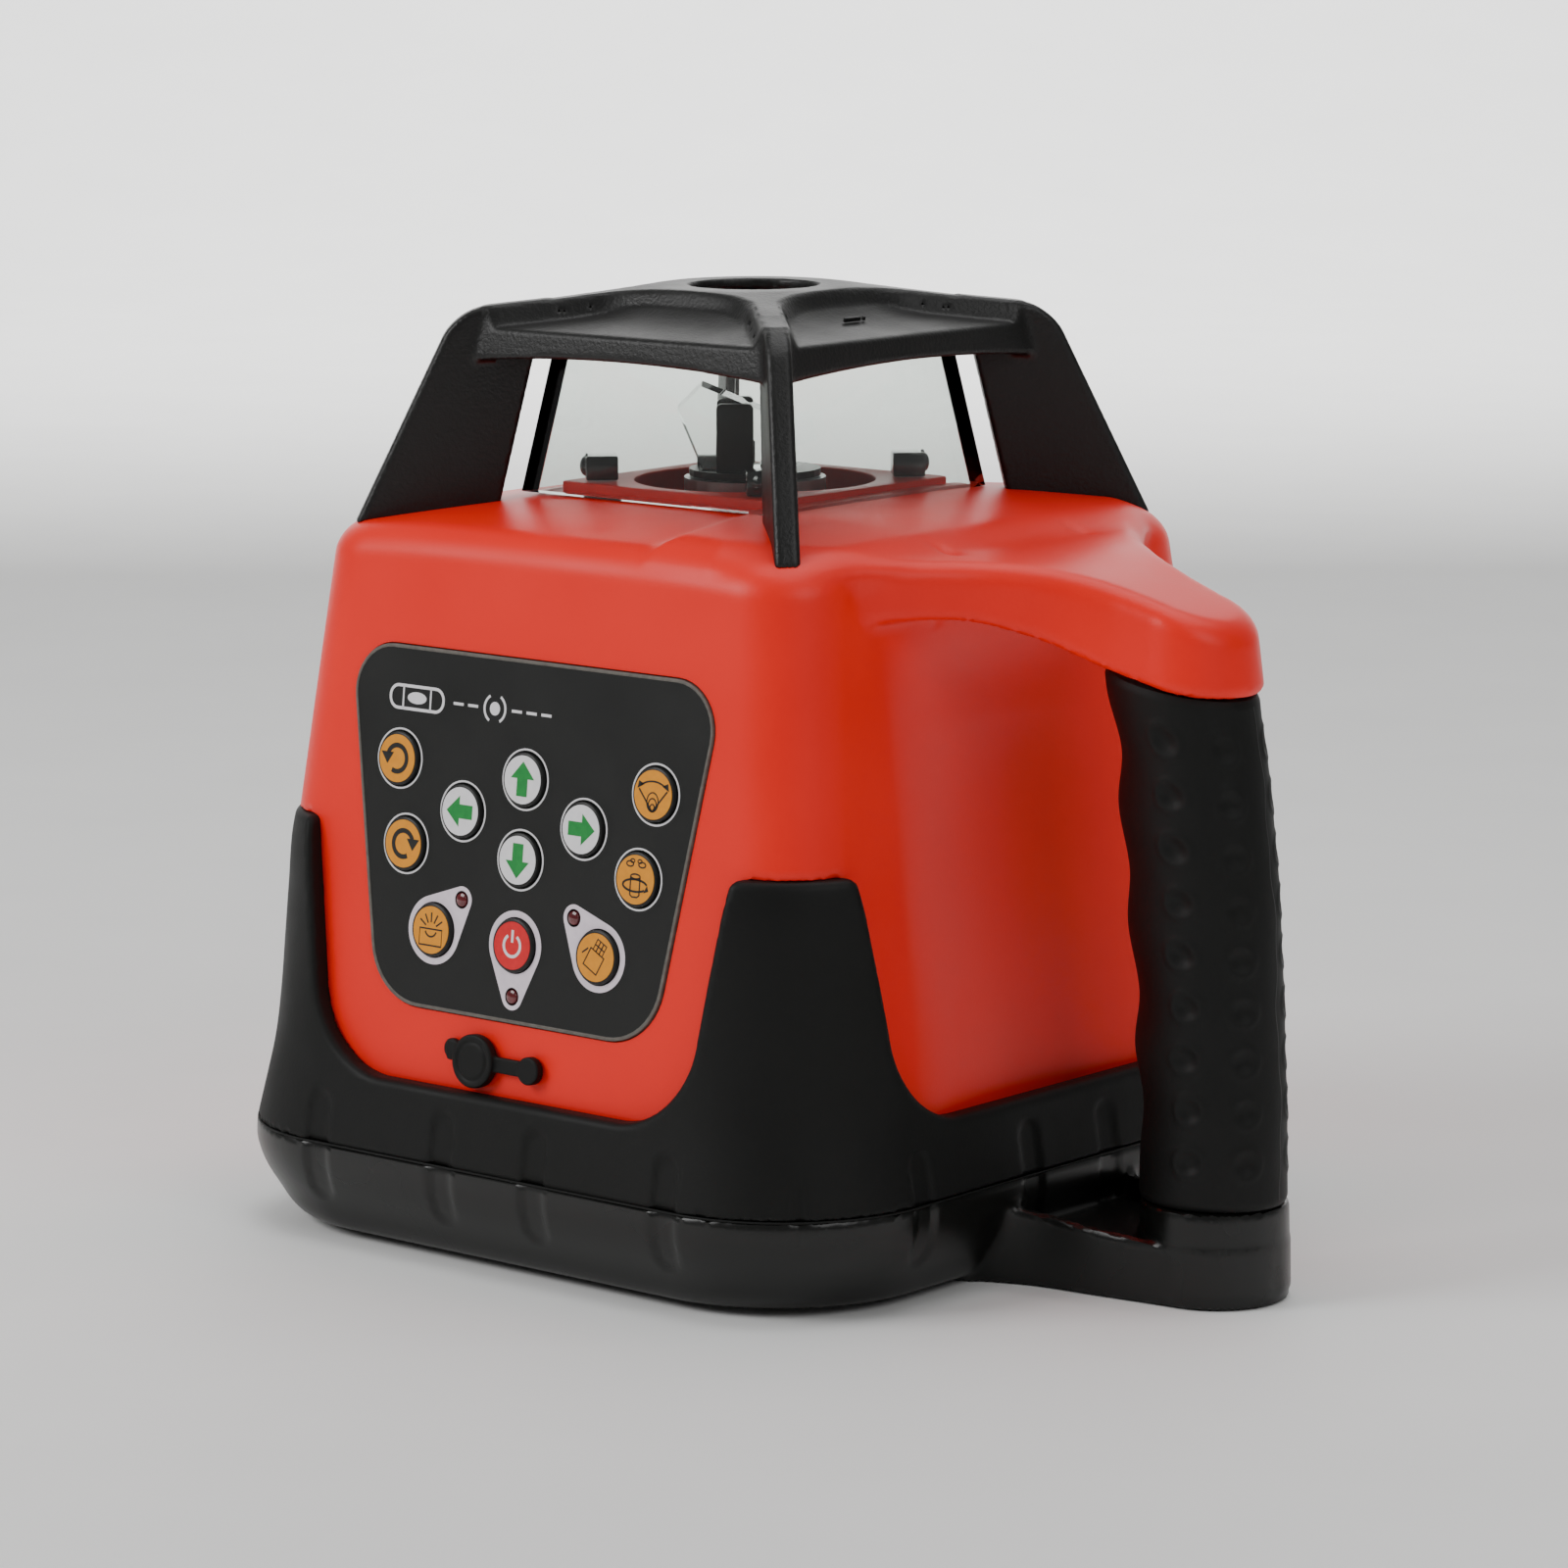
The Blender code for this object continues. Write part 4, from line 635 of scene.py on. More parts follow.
def housing_field(x, y, z):
    """Leaning walls and a crowned deck, hollowed behind the grip and stepped back for the boot."""
    reach = through(z, (20, 3.4), (60, 4.4), (104, 6.0), (118, 4.8), (128, 0.6), (132, 0.0))
    hollow = reach * np.cos(np.pi / 2 * np.clip(y / 38.5, -1, 1)) ** 1.5
    walls = square(x + np.where(x > 30, hollow, 0), y, wall_half(z), 15.0)
    plan = (x**4 + y**4) ** 0.25
    deck = through(plan, (0, 144.5), (33, 144.3), (44, 142.8), (56.8, 140.9), (66, 139.4),
        (78, 137.4))
    body = meet(walls, z - deck, 5.6)
    field = fuse(body, arm_field(x, y, z), 2.0 + 6.0 * ease(z, 133.0, 138.5))
    sink = np.exp(-(((x - 65) / 3.4) ** 2) - (((np.abs(y) - 20.5) / 1.5) ** 2))
    field = field + np.where(z > 125, 0.7 * sink, 0)
    core = square(x, y, wall_half(z) - 0.3, 27.5)
    fangs = 1.2 - np.minimum(valley(x, z), valley(y, z))
    rebate = np.maximum(np.maximum(z - BOOT_TOP - 0.1, -core), fangs)
    return np.maximum(np.maximum(field, -rebate), 20.6 - z)


def cavity_field(x, y, z):
    """The room inside the housing, one wall in and clear of the boot's rebate."""
    walls = square(x + np.where(x > 30, 6.0 * (np.abs(y) < 42), 0), y, wall_half(z) - WALL, 24.0)
    plan = (x**4 + y**4) ** 0.25
    deck = through(plan, (0, 141.5), (33, 141.2), (44, 139.8), (56.8, 137.8), (66, 135.0))
    return np.maximum(meet(walls, z - deck, 4.0), 18.0 - z)


def panel_outline(grow):
    """The keypad's tapering outline, grown or shrunk evenly."""
    top = up_face(117.6) + grow
    bottom = up_face(48.7) - grow
    return rounded([(-35.6 - grow, bottom, 13.0 + grow), (35.6 + grow, bottom, 13.0 + grow),
                    (47.7 + grow, top, 9.5 + grow), (-47.7 - grow, top, 9.5 + grow)])


def build_housing():
    """The orange moulding, with its raised square platform and the lining of the rotor's well."""
    shell = skin("housing_skin", housing_field, (-80, -80, 19), (125, 80, 147), 1.12)
    cavity = skin("cavity", cavity_field, (-70, -70, 17), (70, 70, 143), 3.0)
    well = spun("well", [(0, 125), (WELL, 125), (WELL, 160), (0, 160)], 96)
    recess = keypad_cutter("recess", panel_outline(0.35), -1.8, 12)
    window = keypad_cutter("window", panel_outline(-4.2), -12, 12)
    socket = keypad_cutter("socket", circle(4.3, on_panel("charge_socket")[:2]), -12, 12)
    shell = carve(shell, cavity, well, recess, window, socket)
    stand("housing_shell", shell, ORANGE, replaces=["main_housing"])
    edges = [plate(26.5, 26.5, 1.5), circle(WELL, steps=96)]
    platform = sheets("deck_platform", [edges], 142.4, 146.5, bevel=0.35)
    stand("deck_platform", platform, ORANGE)
    outer = WELL + 1.5
    lining = spun("well_lining", [(WELL, 146.1), (WELL, 130.0), (outer, 130.0), (outer, 146.1)], 96)
    stand("well_lining", lining, ORANGE)


# ---------------------------------------- base and boot
def grooves(x, y, z):
    """Shallow upright ovals round the skirt, and a slit at each corner, over the parting line."""
    along = np.where(np.abs(x) > np.abs(y), y, x)
    ovals = 0.0
    for middle in (12.0, 45.0):
        d = np.hypot(np.abs(along) - middle, np.maximum(np.abs(z - 19.5) - 8.0, 0)) - 3.0
        ovals = ovals + 0.55 * (1 - ease(d, -1.0, 0.5))
    corner = np.abs(np.abs(x) - np.abs(y)) / math.sqrt(2)
    slit = np.hypot(corner, np.maximum(np.abs(z - 21.5) - 5.0, 0)) - 0.9
    return ovals + 0.45 * (1 - ease(slit, -0.6, 0.5))


def boot_field(x, y, z):
    """A rubber sleeve round the housing's foot, cut down between its corners."""
    half = through(z, (20, -0.1), (27, -1.3), (37, -2.9), (47, -3.8), (57, -4.4), (67, -5.0),
        (79, -5.8), (83, -6.4))
    outer = square(x, y, SIDE + half, CORNER) + grooves(x, y, z)
    field = meet(outer, z - BOOT_TOP, 1.5)
    field = meet(meet(field, -valley(x, z), 1.3), -valley(y, z), 1.3)
    inner = square(x, y, wall_half(z) + 0.1, 28.0)
    return np.maximum(np.maximum(field, -inner), BOOT_BOTTOM + 0.05 - z)


def foot_plan(x, y):
    """The foot tapers from the tray to a round end under the grip."""
    half = through(x, (40, 29.0), (60, 27.0), (69.8, 24.6), (76, 21.2), (82.5, 18.6), (99, 16.2),
                   (FOOT_ROUND, FOOT_ROUND_RADIUS))
    round_end = np.hypot(x - FOOT_ROUND, y) - FOOT_ROUND_RADIUS
    side = np.where(x < FOOT_ROUND, np.abs(y) - half, round_end)
    return np.maximum(side, 40 - x)


def base_field(x, y, z):
    """The tray, the foot sunk round its rim, and the collar that takes the grip."""
    half = through(z, (1.5, -6.2), (4, -4.5), (7, -3.1), (12, -1.0), (17, 0.0), (20, -0.1))
    tray = meet(square(x, y, SIDE + half, CORNER) + grooves(x, y, z), 1.5 - z, 1.4)
    plan = foot_plan(x, y)
    top = through(x, (60, 16.0), (74, 15.6), (84, 14.4), (100, 12.7), (112, 12.0), (128, 12.0))
    foot = meet(meet(plan + 0.012 * (12 - z), z - top, 1.0), -z, 1.0)
    collar_at = np.hypot(x - FOOT_ROUND, y)
    sunk = np.maximum(np.maximum(plan + 2.0, 76.0 - x), 14.6 - collar_at)
    foot = np.maximum(foot, -meet(sunk, 10.2 - z, 1.0))
    collar = meet(meet(collar_at - 14.0 - 0.03 * (18.5 - z), z - 18.5, 0.7), 2.0 - z, 0.5)
    field = fuse(fuse(tray, foot, 2.5), collar, 0.6)
    field = np.maximum(meet(field, z - 20.1, 0.5), 0.03 - z)
    return np.maximum(field, x - FOOT_END + 0.03)


def build_base():
    """The black tray, hollow inside, with its battery bay and tripod boss, and the boot on it."""
    tray = skin("base_tray", base_field, (-81, -81, 0), (129, 81, 20.5), 0.95)
    low, high = box_from_axis("battery_door")
    doorway = bar("doorway", (low.x - 0.5, low.y - 0.5, -4), high + Vector((0.5, 0.5, 0.3)), 0.2, 1)
    low, high = box_from_axis("battery_pack")
    bay_low = Vector((low.x - 1, low.y - 1, 2.0))
    bay_high = high + Vector((1, 1, 1))
    bay = bar("bay", bay_low, bay_high, 0.2, 1)
    bay_wall = 1.5
    bay_walls = bar("bay_walls", bay_low - Vector((bay_wall, bay_wall, 9)),
                    bay_high + Vector((bay_wall, bay_wall, bay_wall)), 0.2, 1)
    insert_top = box_from_axis("tripod_insert")[1].z + 0.3
    socket = spun("socket", [(0, -4), (12.3, -4), (12.3, insert_top), (0, insert_top)], 64)
    boss_top = insert_top + 1.7
    boss = spun("boss", [(0, -9), (14, -9), (14, boss_top), (0, boss_top)], 64)
    hollow = sheets("hollow", [[plate(71.7, 71.7, 26)]], 5.0, 24.0)
    hollow = carve(carve(hollow, bay_walls), boss)
    tray = carve(tray, hollow, bay, doorway, socket)
    stand("base_tray", tray, GLOSS_BLACK, replaces=["base_shell"])
    boot = skin("corner_boot", boot_field, (-81, -81, 20), (81, 81, 83), 0.85)
    stand("corner_boot", boot, RUBBER, replaces=["rubber_boot"])
    seam = plate(79.7, 79.7, CORNER, 24)
    flash = sheets("parting_flash", [line(seam, 0.5, closed=True)], 19.95, 20.35, bevel=0.12)
    stand("parting_flash", flash, RUBBER)


def build_underside():
    """Rubber feet, the ribbed battery door, and the wrapped cells behind it."""
    for number in range(1, 5):
        name = f"foot_pad_{number}"
        low, high = box_from_axis(name)
        radius = (high.x - low.x) / 2
        height = high.z
        profile = [(0, height), (radius, height), (radius, 0.5), (radius - 0.15, 0.15),
            (radius - 0.5, 0),
                   (3.4, 0), (3.0, 0.25), (0, 0.3)]
        pad = spun(name + "_moulded", profile)
        place = Matrix.Translation(AXIS + Vector((low.x + high.x, low.y + high.y, 0)) / 2 * MM)
        stand(name + "_moulded", pad, RUBBER, replaces=[name], place=place)
    low, high = box_from_axis("battery_door")
    bars = [bar("door_plate", (low.x + 0.1, -high.y, low.z + 0.4), high, 0.3)]
    for i in range(7):
        y = -18.0 + 6.0 * i
        bars.append(bar("door_rib", (high.x - 14, y - 1, low.z), (high.x - 4, y + 1, low.z + 1),
            0.3))
    bars.append(bar("door_catch", (high.x - 2.6, -9, low.z), (high.x - 0.4, 9, low.z + 1), 0.3))
    door = together("bay_door", *bars)
    stand("bay_door", door, GLOSS_BLACK, "door", ["battery_door"])
    low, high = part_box("battery_pack")
    middle = (low + high) / 2
    radius = (high.z - low.z) / 2 / MM
    half_length = high.y / MM

    def cells(x, y, z):
        tube = np.hypot(np.abs(x) - radius, z) - radius + 0.05
        pinch = 0.5 * np.exp(-((y / 1.6) ** 2))
        return meet(fuse(tube, np.maximum(np.abs(x) - radius, np.abs(z) - radius * 0.75),
            2.0) + pinch,
                    np.abs(y) - half_length, 1.6)

    span = (2 * radius + 1, half_length + 1, radius + 1)
    pack = skin("wrapped_cells", cells, [-a for a in span], span, 1.0)
    stand("wrapped_cells", pack, WRAP, replaces=["battery_pack"],
          place=Matrix.Translation(middle))


# ---------------------------------------- grip
def build_grip():
    """A rubber sleeve with finger waves inside, and two columns of dimples on each flank."""
    bottom = box_from_axis("grip_sleeve")[0].z
    top = 116.6
    levels = 170
    sides = 160
    dimples = [(z, a) for z in range(28, 109, 10) for a in (-76, -30, 76, 30)]
    angles = np.linspace(0, 2 * np.pi, sides, endpoint=False)
    rings = []
    for i in range(levels + 1):
        z = bottom + (top - bottom) * i / levels
        inner = through(np.array(z), (18, 98.7), (28, 99.0), (37, 99.8), (48, 97.5), (57, 98.6),
            (71, 95.5), (80, 96.0),
                        (92, 93.1), (102.6, 93.9), (112.5, 90.2), (118, 89.4))
        outer = through(np.array(z), (18, FOOT_END - 0.2), (42, 127.1), (60, 126.3), (79, 125.2),
            (97, 123.2),
                        (106, 121.7), (112, 120.7), (118, 119.9))
        round_in = 1.2 * (1 - ease(min(z - bottom, top - z), 0.0, 1.5)) ** 2
        half_x = (outer - inner) / 2 - round_in * 0.4
        half_y = 13.0 - round_in * 0.4
        across = np.cos(angles)
        side = np.sin(angles)
        depth = np.zeros(sides)
        for row, degrees in dimples:
            turn = (angles - math.radians(degrees) + np.pi) % (2 * np.pi) - np.pi
            away = np.hypot(turn * 13.6, z - row)
            depth += 0.6 * (1 - ease(away, 0.6, 2.5)) - 0.22 * np.exp(-(((away - 3.0) / 0.55) ** 2))
        x = (inner + outer) / 2 + (half_x - depth) * across
        y = (half_y - depth) * side
        slope = -0.17 * ease(z, bottom, top)
        rings.append(np.stack([x, y, z + slope * (x - 104.5)], axis=1))
    bm = bmesh.new()
    loops = [[bm.verts.new(point * MM) for point in ring] for ring in rings]
    for lower, upper in zip(loops, loops[1:]):
        for i in range(sides):
            j = (i + 1) % sides
            bm.faces.new((lower[i], lower[j], upper[j], upper[i]))
    bm.faces.new(loops[0][::-1])
    bm.faces.new(loops[-1])
    sleeve = close(bm, "grip_sleeve_moulded")
    stand("grip_sleeve_moulded", sleeve, RUBBER, replaces=["grip_sleeve"])
    bm = bmesh.new()
    strip = []
    for ring in rings[2:-2]:
        middle = ring.mean(axis=0)
        turn = math.radians(8 + 2.2 * math.sin(ring[0][2] / 5.0) + 1.2 * math.sin(ring[0][2] / 1.9))
        spot = turn / (2 * math.pi) * sides
        i = int(spot)
        point = ring[i] + (ring[i + 1] - ring[i]) * (spot - i)
        out = (point - middle) / np.linalg.norm(point - middle)
        tangent = np.array((-out[1], out[0], 0))
        strip.append([bm.verts.new((point + out * lift + tangent * shift) * MM)
                      for shift, lift in ((-0.3, -0.1), (-0.12, 0.05), (0.12, 0.05), (0.3, -0.1))])
    for lower, upper in zip(strip, strip[1:]):
        for i in range(3):
            bm.faces.new((lower[i], lower[i + 1], upper[i + 1], upper[i]))
    stand("grip_seam", close(bm, "grip_seam"), BLACK_INK)


# ---------------------------------------- cage and head
def crown_height(out):
    """Height of the roof's crown at a distance from the rotor's axis."""
    return through(out, (0, TOP), (18, TOP), (24, TOP - 0.6), (40, TOP - 2.6), (60, TOP - 5.2),
                   (70, TOP - 8.0))


def roof_top(x, y):
    """Height of the cage's roof: a collar and four ridges, with hollowed panels between."""
    radius = np.hypot(x, y)
    diagonal = np.abs(np.abs(x) - np.abs(y)) / math.sqrt(2)
    crown = crown_height(radius)
    reach = np.maximum(np.abs(x), np.abs(y))
    floor = through(reach, (0, TOP - 2.2), (20, TOP - 2.9), (25, TOP - 5.2), (32, TOP - 6.6),
        (39, TOP - 7.6))
    ridge = fuse(radius - 19.0, diagonal - 2.2, 13.0)
    return crown + (floor - crown) * ease(ridge, 0.0, 2.4)


def cage_field(x, y, z):
    """The square roof with its round hole, and the four blades that carry it from the deck."""
    top = roof_top(x, y)
    half = through(z, (168, 41.0), (171, 40.7), (177, 39.6), (181, 38.8))
    band = square(x, y, half, 3.0)
    roof = meet(band, (z - top) * 0.9, 0.9)
    along = np.minimum(np.abs(x), np.abs(y))
    roof = meet(roof, 172.5 - 2.1 * (along / 40.0) ** 2 - z, 0.8)
    under = np.maximum(square(x, y, half - 2.6, 2.0), z - top + 2.6)
    roof = np.maximum(roof, -under)
    roof = meet(roof, 12.7 - np.hypot(x, y), 0.7)
    out = (np.abs(x) + np.abs(y)) / math.sqrt(2)
    thick = np.abs(np.abs(x) - np.abs(y)) / math.sqrt(2) - 2.4
    outer = (out - 77.6 + 0.483 * (z - 140.9)) * 0.9
    inner = (49.8 - 0.237 * (z - 144.3) - out) * 0.973
    blade = meet(meet(outer, z - crown_height(out), 4.5), thick, 1.0)
    blade = meet(np.maximum(blade, inner), 139.0 - z, 0.5)
    return np.maximum(fuse(roof, blade, 1.0), z - TOP + 0.03)


def build_cage():
    """The cage in one moulding, with a small raised alignment mark on its roof."""
    cage = skin("cage_moulding", cage_field, (-57, -57, 138), (57, 57, 186), 0.72)
    mark = together("mark", bar("slot_mark", (-2.4, -0.3, -0.5), (2.4, 0.3, 0.35), 0.12),
                    bar("dot_mark", (3.2, -0.3, -0.5), (3.8, 0.3, 0.3), 0.12))
    turn = Matrix.Translation((27.5, -3.0, TOP - 5.15)) @ Matrix.Rotation(math.radians(14), 4, "Y")
    turn = turn @ Matrix.Rotation(math.pi / 2, 4, "Z")
    cage = together("cage_moulding", cage, (mark, turn))
    cage.shade_smooth()
    stand("cage_moulding", cage, CAGE, replaces=["head_cage"])


def build_receivers():
    """Four infrared receivers on the platform's corners, each with a domed lens facing out."""
    for number in range(1, 5):
        name = f"ir_receiver_{number}"
        low, high = box_from_axis(name)
        middle = (low + high) / 2
        turn = math.atan2(middle.y, middle.x)
        height = high.z - low.z
        body = bar("body", (-3.15, -3.15, 0), (3.15, 3.15, height), 0.35)
        lens = spun("lens", [(0, 1.1), (0.9, 0.95), (1.6, 0.6), (2.0, 0.1), (2.1, 0), (2.5, -0.1),
            (2.5, -0.5)], 40)
        onto = Matrix.Translation((3.2, 0, height * 0.55)) @ Matrix.Rotation(math.pi / 2, 4, "Y")
        receiver = together(name + "_moulded", body, (lens, onto))
        distance = 20.7 * math.sqrt(2)
        spot = Vector((distance * math.cos(turn), distance * math.sin(turn), low.z))
        place = Matrix.Translation(AXIS + spot * MM) @ Matrix.Rotation(turn, 4, "Z")
        stand(name + "_moulded", receiver, RECEIVER, replaces=[name],
            place=place)


def ease_pane_edges():
    """Ground arrises on the glass and machined edges on the inner parts catch the light."""
    panes = [(f"window_{side}", 0.35) for side in ("front", "right", "back", "left")]
    for name, width in panes + [("pentaprism", 0.25), ("chassis", 0.3), ("prism_bracket", 0.3)]:
        bevel = frame["nodes"][name].modifiers.new("eased_edges", "BEVEL")
        bevel.width = width * MM
        bevel.segments = 2
        bevel.limit_method = "ANGLE"


# ---------------------------------------- keypad
KEY_TOP = 1.25  # above the front wall
FILM_TOP = 0.4
FILM_BACK = -1.4
INK = 0.05


def glyph(name, key, shapes, finish, body, lift=KEY_TOP, level=0):
    """Printed shapes on a key's face, or on the film."""
    low = lift + level * 0.03
    mesh = sheets(name, shapes, low - 0.1, low + INK, move=key)
    return stand(name, mesh, finish, body, place=KEYPAD)


def turned_arrow(sign):
    """An open ring with an arrowhead: 1 turns one way, -1 the other."""
    ring = line(arc(2.55, -118, 158), 0.95)
    head = [[Vector((-4.2, 1.1)), Vector((-0.9, 1.1)), Vector((-2.5, -1.2))]]
    shapes = [ring, head]
    return [[[Vector((p.x * sign, p.y)) for p in loop][::int(sign)] for loop in shape]
        for shape in shapes]


def fat_arrow(degrees):
    """A broad arrow, pointing right at 0 degrees."""
    points = [(3.5, 0), (0.2, 3.0), (0.2, 1.35), (-3.2, 1.35), (-3.2, -1.35), (0.2, -1.35),
        (0.2, -3.0)]
    return [[[Matrix.Rotation(math.radians(degrees), 2) @ Vector(p) for p in points]]]


def scan_fan():
    """A beam swept to and fro through an angle."""
    apex = (0, -3.2)
    shapes = [line([apex, (-3.5, 0.9)], 0.34), line([apex, (3.5, 0.9)], 0.34)]
    shapes.append(line(arc(5.7, 55, 125, apex), 0.34))
    for side in (-1, 1):
        tip = Vector((side * 3.9, 0.9))
        shapes.append([[tip, tip + Vector((-side * 0.3, 1.5)), tip + Vector((-side * 1.7, 0.9))]])
    for reach, lift in ((0.55, 1.4), (1.0, 2.5), (1.4, 3.6)):
        shapes.append(line(oval(reach, lift / 2, (0, -3.2 + lift / 2), 24), 0.26, closed=True))
    return shapes


def spin_speed():
    """A turning head with an arrow round it."""
    shapes = [line(oval(1.15, 0.45, (0, 0.6)), 0.3, closed=True)]
    shapes += [line([(-1.15, 0.5), (-1.15, -2.9)], 0.3), line([(1.15, 0.5), (1.15, -2.9)], 0.3)]
    shapes.append(line([(-1.15, -2.9), (-0.6, -3.3), (0.6, -3.3), (1.15, -2.9)], 0.3))
    orbit = [p for p in oval(3.0, 1.15, (0, -1.1), 48)][2:44]
    shapes.append(line(orbit, 0.42))
    shapes.append([[Vector((3.4, -1.9)), Vector((2.2, -2.3)), Vector((3.0, -0.8))]])
    for side in (-1, 1):
        shapes.append(line(oval(0.85, 0.5, (side * 1.5, 2.9)), 0.28, closed=True))
        shapes.append(line(oval(0.5, 0.35, (side * 0.9, 3.5)), 0.24, closed=True))
    return shapes


def tilt_sight():
    """A box under a half circle with rays: the tilt setting."""
    shapes = [line([(-2.9, -3.0), (2.9, -3.0), (2.9, 0.2), (-2.9, 0.2)], 0.34, closed=True)]
    shapes.append(line(arc(1.5, 200, 340, (0, 0.2)), 0.34))
    for degrees in (35, 62, 90, 118, 145):
        away = Vector((math.cos(math.radians(degrees)), math.sin(math.radians(degrees))))
        shapes.append(line([Vector((0, -0.1)) + away * 1.6, Vector((0, -0.1)) + away * 3.5], 0.32))
    return shapes


def shaken_lamp():
    """A leaning instrument with a mark beside it: the knock alarm."""
    lean = Matrix.Rotation(math.radians(-28), 2)
    case = [lean @ Vector(p) for p in ((-1.9, -2.7), (1.9, -2.7), (1.9, 1.0), (-1.9, 1.0))]
    head = [lean @ Vector(p) for p in ((-1.3, 1.0), (1.3, 1.0), (1.3, 3.3), (-1.3, 3.3))]
    shapes = [line(case, 0.34, closed=True), line(head, 0.3, closed=True)]
    for x in (-0.45, 0.45):
        shapes.append(line([lean @ Vector((x, 1.0)), lean @ Vector((x, 3.3))], 0.26))
    shapes.append(line([lean @ Vector((-1.3, 2.15)), lean @ Vector((1.3, 2.15))], 0.26))
    shapes.append(line([(-3.4, 0.6), (-1.9, 1.6)], 0.32))
    return shapes


def power_mark():
    """An open ring with a stroke through its gap."""
    return [line(arc(2.1, 122, 418), 0.6), line([(0, 0.6), (0, 3.0)], 0.6)]


def teardrop(key, lamp, big=6.7, small=2.6):
    """A disc round a key drawn out to a lobe round its lamp."""
    away = lamp - key
    spread = math.degrees(math.acos((big - small) / away.length))
    turn = math.degrees(math.atan2(away.y, away.x))
    outline = arc(big, turn + spread, turn + 360 - spread, (0, 0), 40)
    outline += arc(small, turn - spread, turn + spread, away[:2], 16)
    return outline


def build_keypad():
    """The film with its cut edge, raised keys with their prints, lamps and two pictograms."""
    keys = {name: on_panel(name) for name in frame["nodes"] if name.startswith("key_")}
    lamps = {name: on_panel(name) for name in frame["nodes"] if name.startswith("lamp_")}
    holes = [circle(5.4, key[:2]) for key in keys.values()]
    holes += [circle(1.6, lamp[:2], 24) for lamp in lamps.values()]
    film = sheets("keypad_film", [[panel_outline(-0.55)] + holes], FILM_BACK, FILM_TOP)
    stand("keypad_film", film, FILM, replaces=["keypad_panel"], place=KEYPAD)
    rim = [panel_outline(0.1), panel_outline(-0.6)]
    edge = sheets("keypad_film_edge", [rim], FILM_BACK, FILM_TOP + 0.12, bevel=0.12)
    stand("keypad_film_edge", edge, FILM_EDGE, place=KEYPAD)
    for name, key in keys.items():
        body = name + "_body"
        profile = [(0, -2.2), (5.2, -2.2), (5.2, 0.85), (5.1, 1.1), (4.9, 1.22), (4.6, KEY_TOP),
            (0, KEY_TOP)]
        cap = spun(name + "_cap", profile, 64, key)
        slot = next(s["material_slot"] for s in frame["record"]["subparts"] if s["node"] == name)
        stand(name + "_cap", cap, FILM, body, [name], KEYPAD)
        if slot != "key_white":
            face = {"key_amber": AMBER, "key_green": WHITE}[slot]
            glyph(name + "_face", key, [[circle(4.65)]], face, body)
            halo = [[circle(5.95), circle(5.6)]]
            glyph(name + "_halo", key, halo, WHITE, "instrument", FILM_TOP)
    for name, key, shapes in (
        ("turn_left_arrow", "key_turn_left", turned_arrow(1)),
        ("turn_right_arrow", "key_turn_right", turned_arrow(-1)),
        ("scan_fan", "key_scan", scan_fan()),
        ("spin_speed", "key_speed", spin_speed()),
    ):
        glyph(name, keys[key], shapes, BLACK_INK, key + "_body", level=1)
    for name, degrees in (("key_right", 0), ("key_up", 90), ("key_left", 180), ("key_down", 270)):
        glyph(name + "_arrow", keys[name], fat_arrow(degrees), GREEN, name + "_body", level=1)
    for name, lamp, finish, mark, ink in (
        ("key_tilt", "lamp_tilt", AMBER, tilt_sight(), BLACK_INK),
        ("key_alarm", "lamp_alarm", AMBER, shaken_lamp(), BLACK_INK),
        ("key_power", "lamp_power", RED, power_mark(), WHITE),
    ):
        key = keys[name]
        lamp_hole = circle(1.75, (lamps[lamp] - key)[:2], 24)
        lobe = [[teardrop(key, lamps[lamp]), circle(5.45), lamp_hole]]
        glyph(name + "_teardrop", key, lobe, ROSE, "instrument", FILM_TOP)
        glyph(name + "_disc", key, [[circle(4.6)]], finish, name + "_body")
        glyph(name + "_mark", key, mark, ink, name + "_body", level=1)
    for name, lamp in lamps.items():
        profile = [(0, FILM_BACK), (1.4, FILM_BACK), (1.4, 0.35), (1.25, 0.62), (0.8, 0.8),
            (0, 0.88)]
        lens = spun(name + "_lens", profile, 32, lamp)
        stand(name + "_lens", lens, LAMP, replaces=[name], place=KEYPAD)
    vial = [line(plate(7, 2.2, 2.1), 0.6, closed=True), [oval(2.5, 1.15, (0, 0))]]
    vial += [line([(x, -2.2), (x, 2.2)], 0.4) for x in (-3.6, 3.6)]
    pictograms = up_face(107.7)
    glyph("vial_pictogram", Vector((-29.5, pictograms, 0)), vial, WHITE, "instrument", FILM_TOP)
    beam = [[circle(1.3, steps=32)], line(arc(2.7, -60, 60), 0.5), line(arc(2.7, 120, 240), 0.5)]
    beam += [line([(x, 0), (x + 2.6, 0)], 0.55) for x in (4.4, 8.2, 12.0, -7.0, -10.8)]
    glyph("beam_pictogram", Vector((-9.0, pictograms, 0)), beam, WHITE, "instrument", FILM_TOP)


